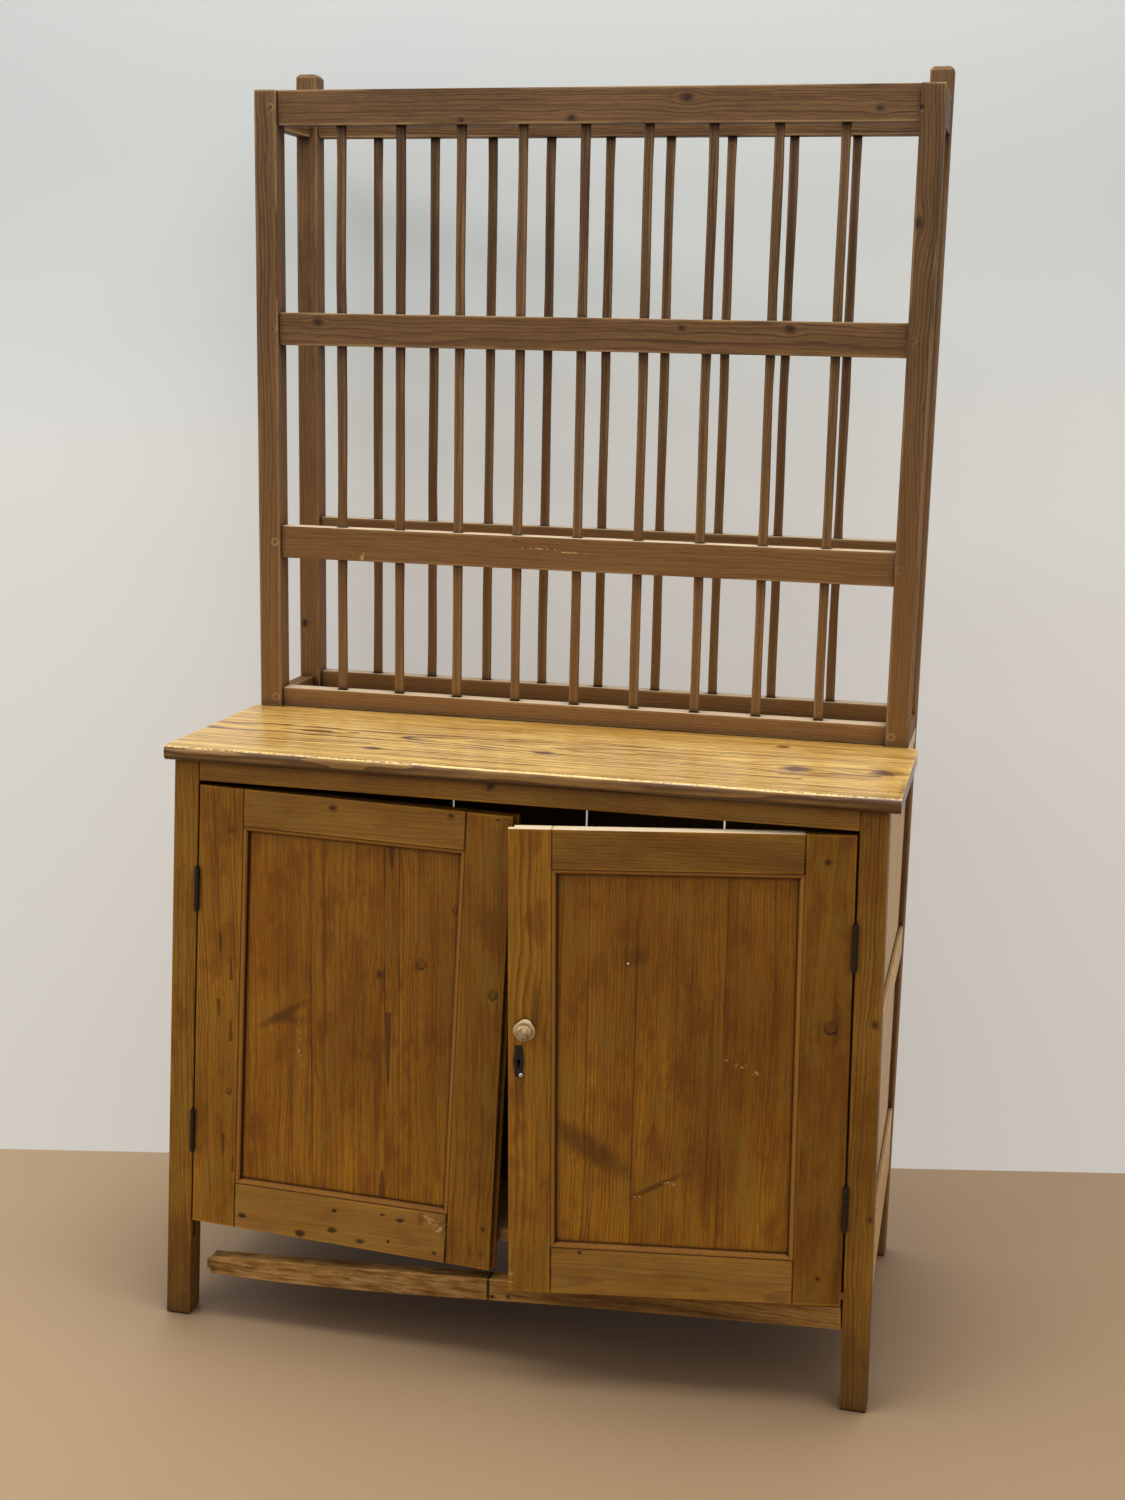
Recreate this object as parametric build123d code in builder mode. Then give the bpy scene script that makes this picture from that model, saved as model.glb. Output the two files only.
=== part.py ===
"""Trastero cabinet: a two-door cupboard with a tall double grille of slats standing at its back.

The frame is joined with mortises and tenons.  The front feet have spread outwards with age, so the
doors, which hang on the front posts, lean with them, and the rail under the doors has dropped out
of the left post.

While the pieces are made, x = 0 is the middle of the cupboard, y = 0 the front face of the posts
and z = 0 the floor.  They are written with the origin in the middle of the footprint.
"""
import os
from math import cos, radians, sin

from build123d import *

# ---- cupboard frame -----------------------------------------------------------------------------
cupboard_width = 1000      # over the front posts, under the table top
cupboard_depth = 520       # front of the front posts to back of the rear posts
front_post_size = 37
front_post_height = 856    # floor to the underside of the table top
left_splay = 33            # how far the left front foot stands outside its top
right_splay = 14
rear_post_size = 34
rear_post_rise = 44        # its top above the rack's top rails
rear_post_chamfer = 5
post_ease = 1.5            # worn long edges of the posts
foot_wear = 3              # worn lower edges of the feet

apron_height = 30
apron_thickness = 22
apron_setback = 1.5
bottom_rail_height = 34
bottom_rail_thickness = 24
bottom_rail_top = 153.5    # top of the rail under the doors, at its sound right end
bottom_rail_drop = 55      # how much lower its left end hangs
bottom_rail_short = 29     # how far the left shoulder stands off the left post
bottom_rail_gap = 0.4      # between the right shoulder and the right post
bottom_rail_wane = 8       # how much thinner the rail gets at its left end
bottom_rail_waves = ((0.18, 1), (0.45, 2), (0.62, 0))   # share of its length, and how much is worn off
rail_tenon_shoulder = 8    # above the tenon of the rail under the doors
rail_tenon_height = 15
rail_mortise_shoulder = 4  # its mortises are taller, so that the rail could tip
rail_mortise_rest = 1      # and deeper
stub_length = 9            # what is left of the broken tenon

side_rail_thickness = 22
side_rail_setback = 1.5
top_side_rail_height = 50
middle_side_rail_top = 560
middle_side_rail_height = 45
bottom_side_rail_top = 257
bottom_side_rail_height = 100
rear_rail_thickness = 22
rear_top_rail_height = 60
rear_bottom_rail_top = 190
rear_bottom_rail_height = 50

panel_thickness = 8        # side panels
panel_depth_in_rail = 7    # from the rail's outer face to the panel's
groove_depth = 8

back_board_width = 222     # the last board fills what is left
back_board_thickness = 9
back_board_gap = 4         # the boards have shrunk apart
back_board_inset = 5       # from the bottom of the rear bottom rail to the boards' ends
floor_board_thickness = 18
floor_board_bottom = 175
floor_board_count = 4
shelf_board_thickness = 18
shelf_board_bottom = 553
shelf_board_count = 3
shelf_setback = 70         # behind the front face of the posts
board_gap = 1              # between the boards of the floor and the shelf
bearer_height = 18
bearer_thickness = 24
inside_play = 3            # between the boards and the posts beside them

# ---- table top ----------------------------------------------------------------------------------
table_thickness = 21
table_front_overhang = 17
table_left_overhang = 9
table_right_overhang = 16
table_nose_radius = 8
table_ear_end = 318        # the side overhangs stop here, behind the front face
table_ear_radius = 10
table_joint = 236          # joint between the two boards, behind the front face
table_tongue = 7

# ---- rack ---------------------------------------------------------------------------------------
rack_width = 1003          # over the stiles and over the rear posts
rack_front = 318           # front face of the stiles
rack_stile_width = 34
rack_stile_depth = 36
rack_height = 920          # its top rails' top, above the table top
rack_rail_setback = 8
rack_rail_thickness = 28
rear_rack_rail_thickness = 24
rack_rail_heights = {"top": 50, "upper": 48, "lower": 49, "bottom": 29}
rack_rail_rises = {"upper": 601, "lower": 281, "bottom": 29}   # their tops, above the table top
rack_side_rail_thickness = 22
rack_foot_rail_height = 20
slat_count = 9
slat_pitch = 92.5
slat_shift = -3            # the grilles sit a little left of the middle
slat_width = 14
slat_thickness = 12
slat_end = 10              # depth of the blind mortises that take the slats' ends
stile_stub = 10            # stub tenon of each stile in the table top
peg_radius = 3.5
peg_past_tenon = 3         # how far the pegs go in behind the tenons

# ---- joints -------------------------------------------------------------------------------------
tenon_length = 16
tenon_thickness = 8
tenon_shoulder = 10        # above and below a tenon of a deep rail
small_shoulder = 5         # above and below a tenon of a shallow rail
tenon_inset = 4            # side-rail tenons lie this far inside the outer face
joint_play = 0.1           # round every tenon, slat end and panel edge
peg_play = 0.05
overlap = 1                # tenons start and cuts end this far past the faces that they cross

# ---- doors --------------------------------------------------------------------------------------
door_top_gap = 5           # between the doors and the apron, at the hinged edges
door_bottom_gap = 2        # between the right door and the sound end of the rail below
door_thickness = 22
hinge_gap = 2              # between a door's edge and its post
meeting_gap = 6            # between the doors at their tops
left_door_angle = 0        # how far each door stands open, degrees
right_door_angle = 8.5
hinge_stile_width = 66
left_lock_stile_width = 66
right_lock_stile_width = 58
door_top_rail_height = 54
left_top_slant = 6.5       # how much a door's top rises from its hinged to its free corner
right_top_slant = -3.5
left_bottom_rail_height = 67    # at the hinged end
right_bottom_rail_height = 62
left_bottom_rail_slant = 9      # how much its upper edge rises towards the free end
right_bottom_rail_slant = 5
door_tenon_length = 34
door_panel_setback = 9
door_panel_thickness = 7
door_groove_depth = 7
bead_width = 8
bead_setback = 1.5
bead_radius = 5.5
meeting_tongue = 5         # rear half of the left door's meeting edge
meeting_rebate = 7         # cut from the rear half of the right door's meeting edge
door_ease = 1

# ---- hinges -------------------------------------------------------------------------------------
hinge_height = 65
hinge_centres = (143.5, 513)   # above the door's bottom edge
hinge_leaf_width = 20
hinge_leaf_thickness = 1.8
knuckle_radius = 3.2
knuckle_count = 5
knuckle_play = 0.2         # between two knuckles
knuckle_clearance = 0.3    # between a knuckle and the wood
hinge_pin_radius = 1.5
hinge_pin_play = 0.06
screw_head_radius = 3.2
screw_shank_radius = 1.6
screw_length = 13
screw_point = 3
screw_play = 0.05
screw_end_distance = 9     # outer screws from the leaf's ends
screw_stagger = 5

# ---- knob and lock ------------------------------------------------------------------------------
knob_radius = 16.5
knob_height = 31
knob_neck_radius = 7.5
knob_foot_height = 4
knob_foot_radius = 10
knob_neck_height = 11      # where the head starts
knob_rim_height = 19       # middle of the head's rounded rim
knob_rim = 3               # its radius
knob_groove_radius = 10    # bottom of the groove between rim and button
knob_groove_height = 20
knob_button_radius = 8.5
knob_button_height = 28    # where the button's face starts to round
knob_spigot_radius = 5
knob_spigot_length = 16
knob_play = 0.05
knob_height_on_door = 392
escutcheon_width = 14
escutcheon_end_width = 10
escutcheon_height = 44
escutcheon_belly = 26      # height of its wider middle
escutcheon_thickness = 1.2
escutcheon_edge = 14.5     # its middle, from the door's meeting edge
escutcheon_centre = 338    # its middle, above the door's bottom edge
keyhole_radius = 2.6
keyhole_slot = 9
lock_width = 52
lock_height = 66
lock_thickness = 14
lock_bolt_height = 20
lock_bolt_thickness = 6
lock_bolt_length = 34
lock_bolt_travel = 11
lock_bolt_play = 0.2
lock_wall = 3              # behind the keyhole
lock_ease = 1.5

LEFT, RIGHT = -1, 1
pin_reach = knuckle_radius + knuckle_clearance   # the pin stands this far in front of the doors
rack_half = rack_width / 2
rear_post_front = cupboard_depth - rear_post_size
door_top = front_post_height - apron_height - door_top_gap
door_bottom = bottom_rail_top + door_bottom_gap
door_height = door_top - door_bottom
table_top = front_post_height + table_thickness
rack_top = table_top + rack_height
rack_rail_tops = {"top": rack_top}
rack_rail_tops |= {level: table_top + rise for level, rise in rack_rail_rises.items()}
rear_post_height = rack_top + rear_post_rise
splay = {LEFT: left_splay, RIGHT: right_splay}
door_angle = {LEFT: left_door_angle, RIGHT: right_door_angle}
lock_stile_width = {LEFT: left_lock_stile_width, RIGHT: right_lock_stile_width}
top_slant = {LEFT: left_top_slant, RIGHT: right_top_slant}
bottom_rail_heights = {LEFT: left_bottom_rail_height, RIGHT: right_bottom_rail_height}
bottom_rail_slants = {LEFT: left_bottom_rail_slant, RIGHT: right_bottom_rail_slant}
side_name = {LEFT: "left", RIGHT: "right"}
pieces = {}


# ---- helpers ------------------------------------------------------------------------------------
def outer_x(side, z):
    """Outer face of a front post at height z."""
    return side * (cupboard_width / 2 + splay[side] * (1 - z / front_post_height))


def inner_x(side, z):
    """Inner face of a front post at height z."""
    return outer_x(side, z) - side * front_post_size


def block(low, high, mode=Mode.ADD):
    """Add or cut the box between two opposite corners of the current workplane's frame."""
    size = [abs(b - a) for a, b in zip(low, high)]
    with Locations(tuple((a + b) / 2 for a, b in zip(low, high))):
        Box(*size, mode=mode)


def grown(low, high, play):
    """The same two corners, moved apart by play on every side."""
    lows = [min(a, b) - play for a, b in zip(low, high)]
    highs = [max(a, b) + play for a, b in zip(low, high)]
    return lows, highs


def cut(corners):
    """Cut a mortise that takes the tenon between two corners with the joint's play."""
    block(*grown(*corners, joint_play), mode=Mode.SUBTRACT)


def keep(name, part):
    """Label a finished piece and keep it for writing."""
    part.label = name
    pieces[name] = part


def both_sides(make):
    """The left and the right copy of a piece, as one part of two or more solids."""
    with BuildPart() as pair:
        for side in (LEFT, RIGHT):
            add(make(side))
    return pair.part


def ease(edges, length):
    """Chamfer the worn edges of a piece."""
    chamfer(edges, length)


# ---- side rails and panels ----------------------------------------------------------------------
# A side rail runs from a leaning front post to a straight rear post, so it lies askew in plan.
side_rails = {
    "top": (front_post_height - top_side_rail_height, front_post_height, tenon_shoulder),
    "middle": (middle_side_rail_top - middle_side_rail_height, middle_side_rail_top, tenon_shoulder),
    "bottom": (bottom_side_rail_top - bottom_side_rail_height, bottom_side_rail_top, tenon_shoulder),
}


def side_plan(side, z, inset, thickness, front, back):
    """Plan of a board of the side frame at height z, as four (x, y) corners."""
    span = rear_post_front - front_post_size

    def outer(y):
        share = (y - front_post_size) / span
        skew = outer_x(side, z) + (side * rack_half - outer_x(side, z)) * share
        return skew - side * inset

    return [(outer(front), front), (outer(back), back),
            (outer(back) - side * thickness, back), (outer(front) - side * thickness, front)]


def polygon(points):
    """Fill the closed outline through these points, in the current sketch."""
    Polygon(*points, align=None)


def side_board(side, low, high, inset, thickness, front, back):
    """A board of the side frame that follows the lean of the front post, low to high."""
    with BuildPart() as board:
        for z in (low, high):
            with BuildSketch(Plane.XY.offset(z)):
                polygon(side_plan(side, z, inset, thickness, front, back))
        loft(ruled=True)
    return board.part


def side_tenons(side, rail):
    """Corners of the tenons at the front and the rear end of a side rail."""
    low, high, shoulder = side_rails[rail]
    middle = (low + high) / 2
    front_outer = outer_x(side, middle) - side * (side_rail_setback + tenon_inset)
    rear_outer = side * (rack_half - side_rail_setback - tenon_inset)
    ends = ((front_outer, front_post_size - tenon_length, front_post_size),
            (rear_outer, rear_post_front, rear_post_front + tenon_length))
    return [((x, start, low + shoulder), (x - side * tenon_thickness, end, high - shoulder))
            for x, start, end in ends]


def side_panel(side, upper, lower, play=0):
    """The panel between two side rails, or with play the room that its grooves leave for it."""
    low = side_rails[lower][1] - groove_depth - play
    high = side_rails[upper][0] + groove_depth + play
    return side_board(side, low, high, side_rail_setback + panel_depth_in_rail - play,
                      panel_thickness + 2 * play, front_post_size - groove_depth - play,
                      rear_post_front + groove_depth + play)


def side_grooves(side):
    """Plough the grooves for both panels of one side."""
    for upper, lower in (("top", "middle"), ("middle", "bottom")):
        add(side_panel(side, upper, lower, joint_play), mode=Mode.SUBTRACT)


def make_side(side):
    for rail, (low, high, _) in side_rails.items():
        blank = side_board(side, low, high, side_rail_setback, side_rail_thickness,
                           front_post_size, rear_post_front)
        with BuildPart() as board:
            add(blank)
            side_grooves(side)
            for corners in side_tenons(side, rail):
                block(*corners)
        keep(f"{side_name[side]}_{rail}_side_rail", board.part)
    with BuildPart() as panels:
        for upper, lower in (("top", "middle"), ("middle", "bottom")):
            add(side_panel(side, upper, lower))
    keep(f"{side_name[side]}_side_panels", panels.part)


# ---- hinges -------------------------------------------------------------------------------------
def door_plane(side, angle):
    """Frame of a door: origin on the pin at the door's foot, z up the pin, x to the right."""
    low, high = inner_x(side, door_bottom), inner_x(side, door_top)
    up = Vector(high - low, 0, door_height).normalized()
    across = Vector(up.Z, 0, -up.X)
    turn = radians(angle) * side
    pin_x = low - side * hinge_gap / 2
    return Plane(origin=(pin_x, -pin_reach, door_bottom),
                 x_dir=across * cos(turn) + Vector(0, 1, 0) * sin(turn), z_dir=up)


def leaf_corners(side, owner, centre):
    """Corners of a hinge leaf: owner 1 is on the post, -1 on the door's edge."""
    face = side * owner * hinge_gap / 2
    return ((face, pin_reach, centre - hinge_height / 2),
            (face + side * owner * hinge_leaf_thickness, pin_reach + hinge_leaf_width,
             centre + hinge_height / 2))


def screw_places(frame, side, owner):
    """Places of the screws of both leaves on one side of the pin, each facing out of its leaf."""
    face = side * owner * hinge_gap / 2
    middle = pin_reach + hinge_leaf_width / 2
    reach = hinge_height / 2 - screw_end_distance
    steps = ((-reach, screw_stagger / 2), (0, -screw_stagger / 2), (reach, screw_stagger / 2))
    return [frame * Plane(origin=(face, middle + across, centre + up),
                          z_dir=(-side * owner, 0, 0)).location
            for centre in hinge_centres for up, across in steps]


def hinge_recesses(frame, side, owner):
    """Let both leaves and their screws into the wood on one side of the pin."""
    for centre in hinge_centres:
        low, high = grown(*leaf_corners(side, owner, centre), joint_play)
        with Locations(frame * Pos(*[(a + b) / 2 for a, b in zip(low, high)])):
            Box(*[b - a for a, b in zip(low, high)], mode=Mode.SUBTRACT)
    with Locations(*screw_places(frame, side, owner)):
        Cylinder(screw_shank_radius + screw_play, screw_length + screw_play,
                 align=(Align.CENTER, Align.CENTER, Align.MAX), mode=Mode.SUBTRACT)


def hinge_leaves(plane, side, owner):
    """Both leaves on one side of the pin, with their knuckles; the post's leaves carry the pins."""
    step = hinge_height / knuckle_count
    with BuildPart(plane) as leaves:
        for centre in hinge_centres:
            low, high = leaf_corners(side, owner, centre)
            block(low, high)
            for number in range(knuckle_count):
                if (number % 2 == 0) != (owner == 1):
                    continue
                base = centre - hinge_height / 2 + number * step + knuckle_play / 2
                top = base + step - knuckle_play
                block((low[0], 0, base), (high[0], low[1], top))
                with Locations((0, 0, (base + top) / 2)):
                    Cylinder(knuckle_radius, top - base)
            with Locations((0, 0, centre)):
                if owner == 1:
                    Cylinder(hinge_pin_radius, hinge_height)
                else:
                    Cylinder(hinge_pin_radius + hinge_pin_play, hinge_height, mode=Mode.SUBTRACT)
    with BuildPart() as drilled:
        add(leaves.part)
        with Locations(*screw_places(plane.location, side, owner)):
            CounterSinkHole(screw_shank_radius + screw_play, screw_head_radius + screw_play,
                            depth=hinge_leaf_thickness + overlap, counter_sink_angle=90)
    return drilled.part


def screw_blank():
    """A countersunk wood screw with its head's face on z = 0, pointing down."""
    head_depth = screw_head_radius - screw_shank_radius
    with BuildPart() as screw:
        with BuildSketch(Plane.XZ):
            polygon([(0, 0), (screw_head_radius, 0), (screw_shank_radius, -head_depth),
                     (screw_shank_radius, -screw_length + screw_point), (0, -screw_length)])
        revolve(axis=Axis.Z)
    return screw.part


def make_screws(places, name):
    blank = screw_blank()
    with BuildPart() as screws:
        with Locations(*places):
            add(blank)
    keep(name, screws.part)


# ---- posts --------------------------------------------------------------------------------------
def apron_tenon(side):
    start = inner_x(side, front_post_height - apron_height / 2)
    middle = apron_setback + apron_thickness / 2
    return ((start - side * overlap, middle - tenon_thickness / 2,
             front_post_height - apron_height + small_shoulder),
            (start + side * tenon_length, middle + tenon_thickness / 2,
             front_post_height - small_shoulder))


def rail_mortise(side):
    """Mortise for the rail under the doors, tall enough for the tenon to tip in it."""
    start = inner_x(side, bottom_rail_top)
    middle = apron_setback + bottom_rail_thickness / 2
    return ((start - side * overlap, middle - tenon_thickness / 2,
             bottom_rail_top - bottom_rail_height + rail_mortise_shoulder),
            (start + side * (tenon_length + rail_mortise_rest), middle + tenon_thickness / 2,
             bottom_rail_top - rail_mortise_shoulder))


def make_front_post(side):
    with BuildPart() as post:
        with BuildSketch(Plane.XZ):
            polygon([(outer_x(side, 0), 0), (outer_x(side, front_post_height), front_post_height),
                     (inner_x(side, front_post_height), front_post_height), (inner_x(side, 0), 0)])
        extrude(amount=-front_post_size)
        ease(post.faces().sort_by(Axis.Z)[0].edges(), foot_wear)
        ease(post.edges().filter_by(lambda edge: edge.length > front_post_height / 2), post_ease)
        cut(apron_tenon(side))
        cut(rail_mortise(side))
        for rail in side_rails:
            cut(side_tenons(side, rail)[0])
        side_grooves(side)
        hinge_recesses(door_plane(side, 0).location, side, 1)
    keep(f"front_{side_name[side]}_post", post.part)


def rear_tenon(side, low, high, middle, shoulder):
    """Tenon of a cross rail in a rear post or a rack stile, by its heights and its middle in y."""
    face = side * (rack_half - rear_post_size)
    return ((face - side * overlap, middle - tenon_thickness / 2, low + shoulder),
            (face + side * tenon_length, middle + tenon_thickness / 2, high - shoulder))


rear_rail_middle = rear_post_front + rear_rail_thickness / 2
rear_rails = {
    "rear_top_rail": (front_post_height - rear_top_rail_height, front_post_height),
    "rear_bottom_rail": (rear_bottom_rail_top - rear_bottom_rail_height, rear_bottom_rail_top),
}
rack_front_middle = rack_front + rack_rail_setback + rack_rail_thickness / 2
rack_rear_middle = rear_post_front + rack_rail_setback + rear_rack_rail_thickness / 2


def rack_levels():
    """Name, bottom and top of each level of rack rails."""
    return [(name, rack_rail_tops[name] - rack_rail_heights[name], rack_rail_tops[name])
            for name in rack_rail_tops]


def level_shoulder(low, high):
    return tenon_shoulder if high - low > 4 * small_shoulder + tenon_shoulder else small_shoulder


def rack_side_rails():
    """Bottom, top and shoulder of the short rails that tie the stiles to the rear posts."""
    return {"top": (rack_top - rack_rail_heights["top"], rack_top, tenon_shoulder),
            "foot": (table_top, table_top + rack_foot_rail_height, small_shoulder)}


def rear_rack_tenon(side, low, high):
    return rear_tenon(side, low, high, rack_rear_middle, level_shoulder(low, high))


def rack_side_tenons(side, rail):
    low, high, shoulder = rack_side_rails()[rail]
    outer = side * (rack_half - side_rail_setback - tenon_inset)
    inner = outer - side * tenon_thickness
    back = rack_front + rack_stile_depth
    return [((outer, back - tenon_length, low + shoulder), (inner, back, high - shoulder)),
            ((outer, rear_post_front, low + shoulder),
             (inner, rear_post_front + tenon_length, high - shoulder))]


def make_rear_post(side):
    outer, inner = side * rack_half, side * (rack_half - rear_post_size)
    with BuildPart() as post:
        with BuildSketch():
            polygon([(outer, rear_post_front), (outer, cupboard_depth),
                     (inner, cupboard_depth), (inner, rear_post_front)])
        extrude(amount=rear_post_height)
        ease(post.faces().sort_by(Axis.Z)[-1].edges(), rear_post_chamfer)
        ease(post.faces().sort_by(Axis.Z)[0].edges(), foot_wear)
        ease(post.edges().filter_by(Axis.Z), post_ease)
        for low, high in rear_rails.values():
            cut(rear_tenon(side, low, high, rear_rail_middle, tenon_shoulder))
        for _, low, high in rack_levels():
            cut(rear_tenon(side, low, high, rack_rear_middle, level_shoulder(low, high)))
        for rail in side_rails:
            cut(side_tenons(side, rail)[1])
        for rail in rack_side_rails():
            cut(rack_side_tenons(side, rail)[1])
        side_grooves(side)
    keep(f"rear_{side_name[side]}_post", post.part)


# ---- cross rails of the cupboard ----------------------------------------------------------------
def make_apron():
    low = front_post_height - apron_height
    with BuildPart() as apron:
        with BuildSketch(Plane.XZ.offset(-apron_setback)):
            polygon([(inner_x(LEFT, low), low), (inner_x(LEFT, front_post_height), front_post_height),
                     (inner_x(RIGHT, front_post_height), front_post_height), (inner_x(RIGHT, low), low)])
        extrude(amount=-apron_thickness)
        for side in (LEFT, RIGHT):
            block(*apron_tenon(side))
    keep("front_apron", apron.part)


def make_bottom_rail():
    """The rail under the doors: its left end has dropped and its left tenon has broken off."""
    right = inner_x(RIGHT, bottom_rail_top) - bottom_rail_gap
    left = inner_x(LEFT, bottom_rail_top) + bottom_rail_short
    slope = bottom_rail_drop / (right - left)

    def top(x):
        return bottom_rail_top - (right - x) * slope

    def bottom(x, wane):
        return top(x) - bottom_rail_height + wane

    places = [(right - share * (right - left), wear) for share, wear in bottom_rail_waves]
    with BuildPart() as rail:
        with BuildSketch(Plane.XZ.offset(-apron_setback)):
            with BuildLine():
                Polyline((left, bottom(left, bottom_rail_wane)), (left, top(left)),
                         (right - bottom_rail_height * slope, top(right)), (right, bottom(right, 0)))
                Spline((right, bottom(right, 0)), *[(x, bottom(x, wear)) for x, wear in places],
                       (left, bottom(left, bottom_rail_wane)))
            make_face()
        extrude(amount=-bottom_rail_thickness)
        middle = apron_setback + bottom_rail_thickness / 2
        with BuildSketch(Plane.XZ.offset(-middle + tenon_thickness / 2)):
            for start, reach in ((right, tenon_length), (left, -stub_length)):
                ends = (start - reach / 2, start + reach)
                upper = [(x, top(x) - rail_tenon_shoulder) for x in ends]
                polygon(upper + [(x, z - rail_tenon_height) for x, z in reversed(upper)])
        extrude(amount=-tenon_thickness)
    keep("front_bottom_rail", rail.part)


def make_rear_rail(name):
    low, high = rear_rails[name]
    face = rack_half - rear_post_size
    with BuildPart() as rail:
        block((-face, rear_post_front, low), (face, rear_post_front + rear_rail_thickness, high))
        for side in (LEFT, RIGHT):
            block(*rear_tenon(side, low, high, rear_rail_middle, tenon_shoulder))
    keep(name, rail.part)


# ---- boards inside and behind -------------------------------------------------------------------
def make_back_boards():
    """Upright boards behind the rear rails, laid from the left; the last one is narrower."""
    end = rack_half - rear_post_size - joint_play
    low = rear_rails["rear_bottom_rail"][0] + back_board_inset
    front = rear_post_front + rear_rail_thickness
    start = -end
    with BuildPart() as boards:
        while start < end:
            stop = min(start + back_board_width, end)
            block((start, front, low), (stop, front + back_board_thickness, front_post_height))
            start = stop + back_board_gap
    keep("back_boards", boards.part)


def make_level_boards(name, bottom, thickness, count, front):
    """Boards of the floor or the shelf, side by side from front to back on their bearers."""
    back = rear_post_front - joint_play
    half = rack_half - rear_post_size - inside_play
    board = (back - front - (count - 1) * board_gap) / count
    with BuildPart() as boards:
        with BuildSketch(Plane.XY.offset(bottom)):
            with Locations((0, (front + back) / 2)):
                with GridLocations(0, board + board_gap, 1, count):
                    Rectangle(2 * half, board)
        extrude(amount=thickness)
    keep(name, boards.part)


def make_bearers(name, top, front):
    """A pair of bearers, fixed to the inner faces of the side rails."""
    inset = side_rail_setback + side_rail_thickness
    with BuildPart() as bearers:
        for side in (LEFT, RIGHT):
            add(side_board(side, top - bearer_height, top, inset, bearer_thickness,
                           front, rear_post_front - joint_play))
    keep(name, bearers.part)


# ---- table top ----------------------------------------------------------------------------------
def make_table():
    front = -table_front_overhang
    left = -cupboard_width / 2 - table_left_overhang
    right = cupboard_width / 2 + table_right_overhang
    inner = rack_half - rear_post_size - joint_play
    notch = rear_post_front - joint_play
    tongue_low = front_post_height + table_thickness / 2 - table_tongue / 2
    with BuildPart() as front_board:
        with BuildSketch(Plane.XY.offset(front_post_height)):
            polygon([(left, front), (right, front), (right, table_joint), (left, table_joint)])
        extrude(amount=table_thickness)
        nose = front_board.edges().filter_by(Axis.X).group_by(Axis.Y)[0]
        fillet(nose, table_nose_radius)
        block((left, table_joint - table_tongue, tongue_low),
              (right, table_joint, tongue_low + table_tongue), mode=Mode.SUBTRACT)
    keep("table_front_board", front_board.part)

    with BuildPart() as rear_board:
        with BuildSketch(Plane.XY.offset(front_post_height)):
            polygon([(left, table_joint), (right, table_joint), (right, table_ear_end),
                     (rack_half, table_ear_end), (rack_half, notch), (inner, notch),
                     (inner, cupboard_depth), (-inner, cupboard_depth), (-inner, notch),
                     (-rack_half, notch), (-rack_half, table_ear_end), (left, table_ear_end)])
        extrude(amount=table_thickness)
        for x, ear in ((left, -left - rack_half), (right, right - rack_half)):
            corner = (x, table_ear_end, front_post_height)
            upright = rear_board.edges().filter_by(Axis.Z).sort_by_distance(corner)[0]
            fillet(upright, min(table_ear_radius, ear * 0.9))
        block((left, table_joint - table_tongue + joint_play, tongue_low + joint_play),
              (right, table_joint + overlap, tongue_low + table_tongue - joint_play))
        for side in (LEFT, RIGHT):
            cut(stile_stub_corners(side))
    keep("table_rear_board", rear_board.part)


# ---- rack ---------------------------------------------------------------------------------------
def stile_stub_corners(side):
    outer = side * (rack_half - tenon_shoulder)
    inner = side * (rack_half - rack_stile_width + tenon_shoulder)
    return ((outer, rack_front + tenon_shoulder, table_top - stile_stub),
            (inner, rack_front + rack_stile_depth - tenon_shoulder, table_top + overlap))


def front_tenon(side, low, high):
    face = side * (rack_half - rack_stile_width)
    shoulder = level_shoulder(low, high)
    return ((face - side * overlap, rack_front_middle - tenon_thickness / 2, low + shoulder),
            (face + side * tenon_length, rack_front_middle + tenon_thickness / 2, high - shoulder))


def peg_spots():
    """Centre of every peg on the stiles' front face, as (x, z)."""
    reach = rack_half - rack_stile_width + tenon_length / 2
    return [(side * reach, (low + high) / 2)
            for side in (LEFT, RIGHT) for _, low, high in rack_levels()]


def peg_length():
    return rack_front_middle + tenon_thickness / 2 + peg_past_tenon - rack_front


def pegs(radius, length, mode=Mode.ADD):
    """All the pegs, or the holes for them, driven in from the stiles' front face."""
    with BuildSketch(Plane.XZ.offset(-rack_front)) as outlines:
        with Locations(*peg_spots()):
            Circle(radius)
    extrude(outlines.sketch, amount=-length, mode=mode)


def make_rack_stile(side):
    outer, inner = side * rack_half, side * (rack_half - rack_stile_width)
    with BuildPart() as stile:
        with BuildSketch(Plane.XY.offset(table_top)):
            polygon([(outer, rack_front), (outer, rack_front + rack_stile_depth),
                     (inner, rack_front + rack_stile_depth), (inner, rack_front)])
        extrude(amount=rack_top - table_top)
        ease(stile.faces().sort_by(Axis.Z)[-1].edges(), post_ease)
        ease(stile.edges().filter_by(Axis.Z), post_ease)
        block(*stile_stub_corners(side))
        for _, low, high in rack_levels():
            cut(front_tenon(side, low, high))
        for rail in rack_side_rails():
            cut(rack_side_tenons(side, rail)[0])
        pegs(peg_radius + peg_play, peg_length() + peg_play, Mode.SUBTRACT)
    keep(f"rack_{side_name[side]}_stile", stile.part)


def slat_room(middle, play):
    """Cut the room that the slats of one grille leave in a rail."""
    low, high = slat_reach()
    with BuildSketch(Plane.XY.offset(low - play)) as outlines:
        with Locations((slat_shift, middle)):
            with GridLocations(slat_pitch, 0, slat_count, 1):
                Rectangle(slat_width + 2 * play, slat_thickness + 2 * play)
    extrude(outlines.sketch, amount=high - low + 2 * play, mode=Mode.SUBTRACT)


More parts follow.
